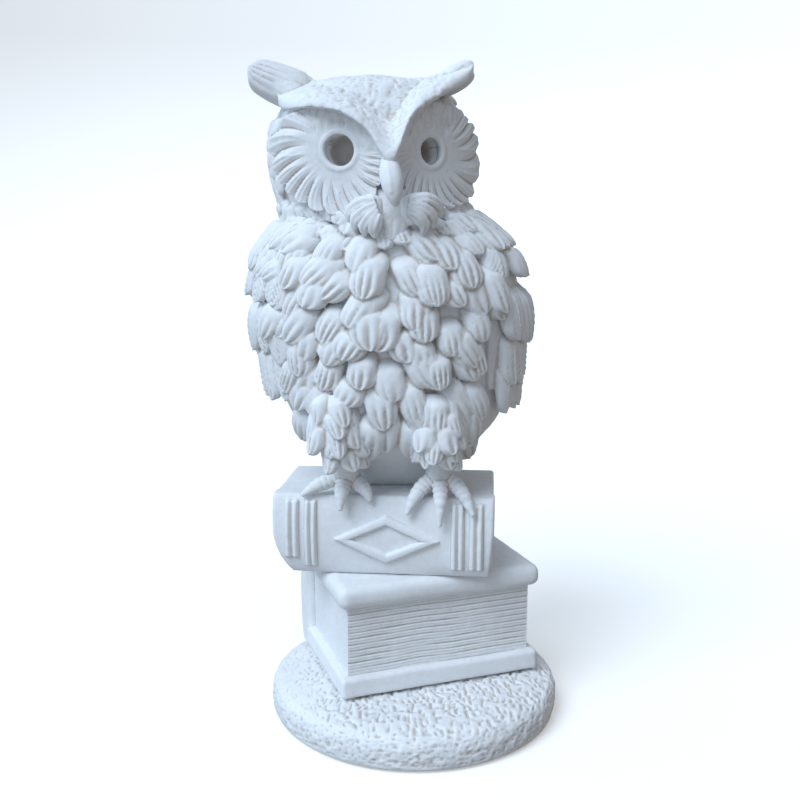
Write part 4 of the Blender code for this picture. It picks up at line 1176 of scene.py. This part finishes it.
def make_chin():
    rng = np.random.default_rng(SEED + 12)
    blades = {
        "l": (((-13.5, -35.5, 191.0), (-17.5, -35.0, 190.3), (-21.5, -32.6, 187.8), (-23.2, -31.0, 184.2)),
              ((-13.0, -36.0, 189.8), (-16.5, -36.0, 188.0), (-19.8, -34.4, 185.0), (-20.6, -33.0, 181.6)),
              ((-12.8, -36.4, 188.4), (-15.0, -36.6, 186.0), (-17.0, -35.6, 183.0), (-17.2, -34.6, 179.8)),
              ((-12.3, -36.8, 187.0), (-13.4, -36.8, 184.5), (-14.0, -36.2, 182.0), (-13.6, -35.4, 179.0))),
        "r": (((-2.6, -36.0, 191.2), (2.5, -35.8, 191.6), (6.8, -32.8, 189.4), (8.2, -30.6, 185.6)),
              ((-3.0, -36.6, 189.6), (1.5, -36.4, 188.8), (4.9, -34.4, 186.0), (5.3, -32.8, 182.2)),
              ((-3.6, -37.0, 188.0), (0.0, -36.9, 186.6), (2.3, -35.6, 183.5), (1.7, -34.6, 180.0))),
    }
    for suffix, paths in blades.items():
        shape = Shape()
        side = -1 if suffix == "l" else 1
        root = np.array(paths[0][0])
        add_tube(shape, [root + (0, 7, 1), root + (side * 2.0, 5.5, -3.5), root + (side * 3.0, 5.0, -7.5)],
                 [4.0, 5.0, 3.4], sides=28, steps=30)
        for path in paths:
            path = np.array(path) + (0.0, 1.6, 0.0)
            add_tube(shape, path, [1.3, 2.3, 2.2, 0.6], [1.1, 1.5, 1.3, 0.4], sides=40, steps=50, streaks=7,
                     streak_depth=0.10, first_side=(0.0, 0.0, 1.0))
        cast_piece(f"chin_bristles_{suffix}", shape, 0.09, f"chin_lobe_{suffix}", voxel=0.32, rounds=1)
    shape = Shape()
    add_tube(shape, [(-8.6, -25.6, 194.5), (-8.6, -26.6, 187.0), (-8.4, -25.6, 181.5)], [7.4, 7.8, 6.4],
             [6.0, 6.4, 5.4], sides=36, steps=36)
    add_free_feather(shape, (-8.6, -31.4, 193.0), (0.4, -0.2, -13.6), (0, -1, 0.1), 14.6, 12.6, thick=1.0,
                     tilt=0.5, under=4.0, barbs=3, barb_depth=0.2, tip=2.2, root=0.95, nu=36, nv=36,
                     ragged=0.03)
    cast_piece("chin_bib_cast", shape, 0.06, "chin_bib", voxel=0.36)
    for suffix, first, last in (("l", -88, -24), ("r", 42, 98)):
        shape = Shape()
        add_patch(shape, (first, last), (183.0, 189.0), under=-2.0, over=0.6, cols=40, rows=12)
        for k, level in enumerate((191.5, 188.6, 185.6)):
            many = int((last - first) / 7.5)
            for angle in places(first, last, many, 0.3 if k % 2 else 0.7):
                add_feather(shape, angle + rng.normal(0, 1.6), level + rng.normal(0, 0.5),
                            rng.normal(0, 16), 6.2 + rng.normal(0, 0.7), 4.6, thick=1.7, base=0.3, tilt=1.7,
                            barbs=2, barb_depth=0.5, nu=14, nv=16, phase=rng.random() * 6)
        cast_piece(f"neck_feathers_{suffix}", shape, 0.07, f"neck_ruff_{suffix}", voxel=0.36, rounds=2)


# ---------------------------------------------------------------------- legs


def add_free_feather(shape, start, along, out, length, width, thick=1.8, tilt=1.2, under=1.4, **kind):
    """One feather laid along a straight line, facing out."""
    x, y, top = leaf(length, width, thick, **kind)
    along = np.array(along, float) / np.linalg.norm(along)
    out = np.array(out, float)
    out -= along * out.dot(along)
    out /= np.linalg.norm(out)
    across = np.cross(along, out)
    v = y / length
    base = np.array(start, float) + across * x[..., None] + along * y[..., None]
    rise = tilt * v - FREE_ROOT_SINK * (1 - smoothstep(0.0, 0.32, v))
    bow = -(x / (width / 2 + 1e-6)) ** 2 * width * 0.10
    add_slab(shape, base + out * (rise + bow - under)[..., None], base + out * (rise + bow + top)[..., None])


def make_leg(suffix, hip, knee, wide, toes, seed):
    """A feathered thigh as one piece, then the foot and its three toes as another."""
    rng = np.random.default_rng(SEED + seed)
    hip, knee = np.array(hip, float), np.array(knee, float)
    shape = Shape()
    axis = knee - hip
    add_tube(shape, [hip + axis * t for t in (0, 0.25, 0.5, 0.75, 1.0)],
             [wide * f for f in (0.55, 0.85, 0.85, 0.68, 0.42)], sides=40, steps=50)
    for k in range(5):
        t = -0.06 + 0.20 * k
        radius = wide * float(np.interp(t, (0, 0.3, 0.6, 1.0), (0.72, 0.86, 0.80, 0.42)))
        many = max(int(radius * 2.8 / 5.6), 3)
        for degrees in places(-85, 85, many, 0.25 if k % 2 else 0.75):
            turn = math.radians(degrees + rng.normal(0, 5))
            out = np.array([math.sin(turn), -math.cos(turn), 0.1])
            along = axis + out * 3 + rng.normal(0, 2.6, 3)
            add_free_feather(shape, hip + axis * t + out * (radius - 1.4), along, out,
                             11.5 + rng.normal(0, 1.4), 7.4 + rng.normal(0, 0.8), thick=2.3, tilt=1.3,
                             barbs=3, barb_depth=0.85, tip=3.0, phase=rng.random() * 6)
    cast_piece(f"thigh_plumage_{suffix}", shape, 0.06, f"thigh_{suffix}", voxel=0.4)

    shape = Shape()
    hub = np.mean([np.array(path[0]) for path in toes], axis=0)
    add_tube(shape, [knee + (0, 1.0, 2.0), knee + (0, 2.0, -2.5), hub + (0, 1.5, 0.5), hub + (0, 4.0, -4.5)],
             [3.6, 3.7, 5.0, 4.0], sides=32, steps=40)
    for path in toes:
        add_tube(shape, path, [2.5, 2.7, 2.3, 0.8], sides=32, steps=90,
                 wobble=lambda s: 0.93 + 0.14 * np.abs(np.sin(s * math.pi * 8.0)) * (1 - s ** 4))
    obj = fused(f"foot_cast_{suffix}", shape, voxel=0.32, rounds=1)
    roughen(obj, lambda p, n: 0.10 * noise(p, 1.8, 27) + 0.05 * noise(p, 0.9, 28))
    finish_piece(obj, f"foot_{suffix}", *[f"toe_{suffix}_{k}" for k in (1, 2, 3)])


# ------------------------------------------------------------ light and view

# The camera fitted to the photo's plinth and books, in metres, radians and mm of focal length
CAMERA_PLACE = (-0.0056, -0.3563, 0.1852)
CAMERA_DIP = 0.183
FOCAL_LENGTH = 43.9

# The light: where the sky is brightest, then the sun's heading, strength, spread in degrees and colour
BRIGHTEST_SKY = (-0.68, -0.30, 0.67)
KEY_HEADING = (0.54, 0.64, -0.93)
KEY_POWER = 2.02
KEY_SPREAD = 34
KEY_COLOUR = (0.77, 0.87, 1.0)


def make_stage():
    """A wide pale floor that rises into a low round wall, the same from every side."""
    shape = Shape()
    floor, flat, bend = -0.15, 3000, 900
    profile = [(r, floor) for r in (0.01, 300, 900, 1800, flat)]
    for t in np.radians(np.arange(10, 91, 10)):
        profile.append((flat + bend * math.sin(t), floor + bend * (1 - math.cos(t))))
    profile += [(flat + bend, 1600), (flat + bend, 2300)]
    turn = np.linspace(0, 2 * np.pi, 96, endpoint=False)
    grid = np.array([[(r * math.cos(t), r * math.sin(t), z) for t in turn] for r, z in profile])
    shape.add(grid.reshape(-1, 3), grid_quads(len(profile), 96, True))
    cove = link("ground_cove", shape.mesh("ground_cove"))
    shade_smooth(cove.data)
    material = bpy.data.materials.new("ground_pale")
    material.use_nodes = True
    shader = material.node_tree.nodes["Principled BSDF"]
    shader.inputs["Base Color"].default_value = (0.93, 0.91, 0.88, 1.0)
    shader.inputs["Emission Color"].default_value = (1.0, 1.0, 1.0, 1.0)
    shader.inputs["Emission Strength"].default_value = 0.27
    shader.inputs["Roughness"].default_value = 0.9
    shader.inputs["Specular IOR Level"].default_value = 0.1
    cove.data.materials.append(material)
    cove.visible_diffuse = False


def add_sun(name, heading, power, spread, colour):
    data = bpy.data.lights.new(name, "SUN")
    data.energy = power
    data.angle = math.radians(spread)
    data.color = colour
    lamp = bpy.data.objects.new(name, data)
    bpy.context.scene.collection.objects.link(lamp)
    lamp.rotation_euler = Vector(heading).to_track_quat("-Z", "Y").to_euler()


def make_light():
    """A sky brightest to the upper left and front, and one wide soft sun from about there."""
    world = bpy.data.worlds.new("soft_room")
    bpy.context.scene.world = world
    world.use_nodes = True
    nodes, links = world.node_tree.nodes, world.node_tree.links
    heading = nodes.new("ShaderNodeTexCoord")
    toward = nodes.new("ShaderNodeVectorMath")
    toward.operation = "DOT_PRODUCT"
    toward.inputs[1].default_value = BRIGHTEST_SKY
    links.new(heading.outputs["Generated"], toward.inputs[0])
    spread = nodes.new("ShaderNodeMapRange")
    spread.inputs["From Min"].default_value = -1.0
    links.new(toward.outputs["Value"], spread.inputs["Value"])
    glow = nodes.new("ShaderNodeValToRGB")
    glow.color_ramp.elements[0].color = (0.215, 0.20, 0.185, 1.0)
    glow.color_ramp.elements[1].color = (0.60, 0.82, 1.06, 1.0)
    middle = glow.color_ramp.elements.new(0.5)
    middle.color = (0.285, 0.285, 0.295, 1.0)
    links.new(spread.outputs["Result"], glow.inputs["Fac"])
    links.new(glow.outputs["Color"], nodes["Background"].inputs["Color"])
    add_sun("key_sky", KEY_HEADING, KEY_POWER, KEY_SPREAD, KEY_COLOUR)
    bpy.context.scene.view_settings.view_transform = "Standard"


def make_camera():
    data = bpy.data.cameras.new("photo_view")
    data.lens = FOCAL_LENGTH
    data.sensor_width = 36.0
    data.clip_start = 0.01
    data.clip_end = 20.0
    camera = bpy.data.objects.new("photo_view", data)
    bpy.context.scene.collection.objects.link(camera)
    camera.location = CAMERA_PLACE
    camera.rotation_euler = (math.pi / 2 - CAMERA_DIP, 0.0, 0.0)
    bpy.context.scene.camera = camera


make_camera()
make_stage()
make_light()
make_plinth()
make_lower_book()
make_upper_book()
make_torso()
make_breast()
make_wing("wing_plumage_l", -1, 38.0, (
    (187.0, 15.0, 10.5, 2.8, 2.6, 0.0), (180.0, 16.5, 11.0, 3.0, 3.0, 0.0),
    (171.5, 17.0, 11.2, 2.8, 3.2, 0.3), (160.0, 22.0, 11.4, 2.6, 3.2, 0.5),
    (146.0, 25.0, 11.0, 2.4, 3.0, 0.5),
), [f"wing_tier_l_{k}" for k in (1, 2, 3, 4)], 1)
make_wing("wing_plumage_r", 1, 42.0, (
    (189.0, 11.0, 9.5, 2.6, 2.4, 0.0), (184.5, 14.0, 10.0, 2.8, 2.8, 0.0),
    (176.0, 16.0, 10.6, 2.8, 3.2, 0.2), (164.0, 22.0, 11.8, 2.8, 3.4, 0.5),
    (147.5, 21.5, 11.0, 2.4, 3.2, 0.5), (138.5, 20.5, 8.4, 2.0, 2.6, 0.4),
), [f"wing_tier_r_{k}" for k in (1, 2, 3, 4)], 2)
make_back()
make_tail()
make_head()
make_disc("facial_disc_cast_l", "facial_disc_l", -1, 1.7)
make_disc("facial_disc_cast_r", "facial_disc_r", 1, 4.1)
make_beak()
make_chin()
make_leg("l", (-29.0, -24.5, 125.0), (-25.0, -22.5, 103.5), 9.6, (
    [(-25.5, -15.5, 94.5), (-31.0, -15.0, 92.5), (-36.5, -15.6, 90.2), (-41.2, -16.4, 87.2)],
    [(-25.0, -16.5, 95.0), (-26.0, -18.2, 92.0), (-26.6, -20.8, 88.2), (-26.9, -22.0, 83.2)],
    [(-24.0, -15.5, 94.5), (-20.5, -16.5, 92.0), (-17.8, -18.8, 89.6), (-16.0, -20.2, 86.2)],
), 31)
make_leg("r", (6.5, -25.5, 125.0), (8.0, -23.5, 103.5), 9.2, (
    [(7.0, -18.0, 94.5), (3.0, -18.6, 91.8), (-0.6, -21.2, 87.6), (-3.4, -22.6, 81.8)],
    [(8.4, -18.5, 95.0), (8.7, -20.8, 91.8), (8.7, -23.6, 86.8), (8.3, -25.3, 78.0)],
    [(10.0, -18.0, 94.5), (14.0, -19.2, 92.2), (17.5, -22.2, 88.2), (20.4, -25.2, 82.0)],
), 32)
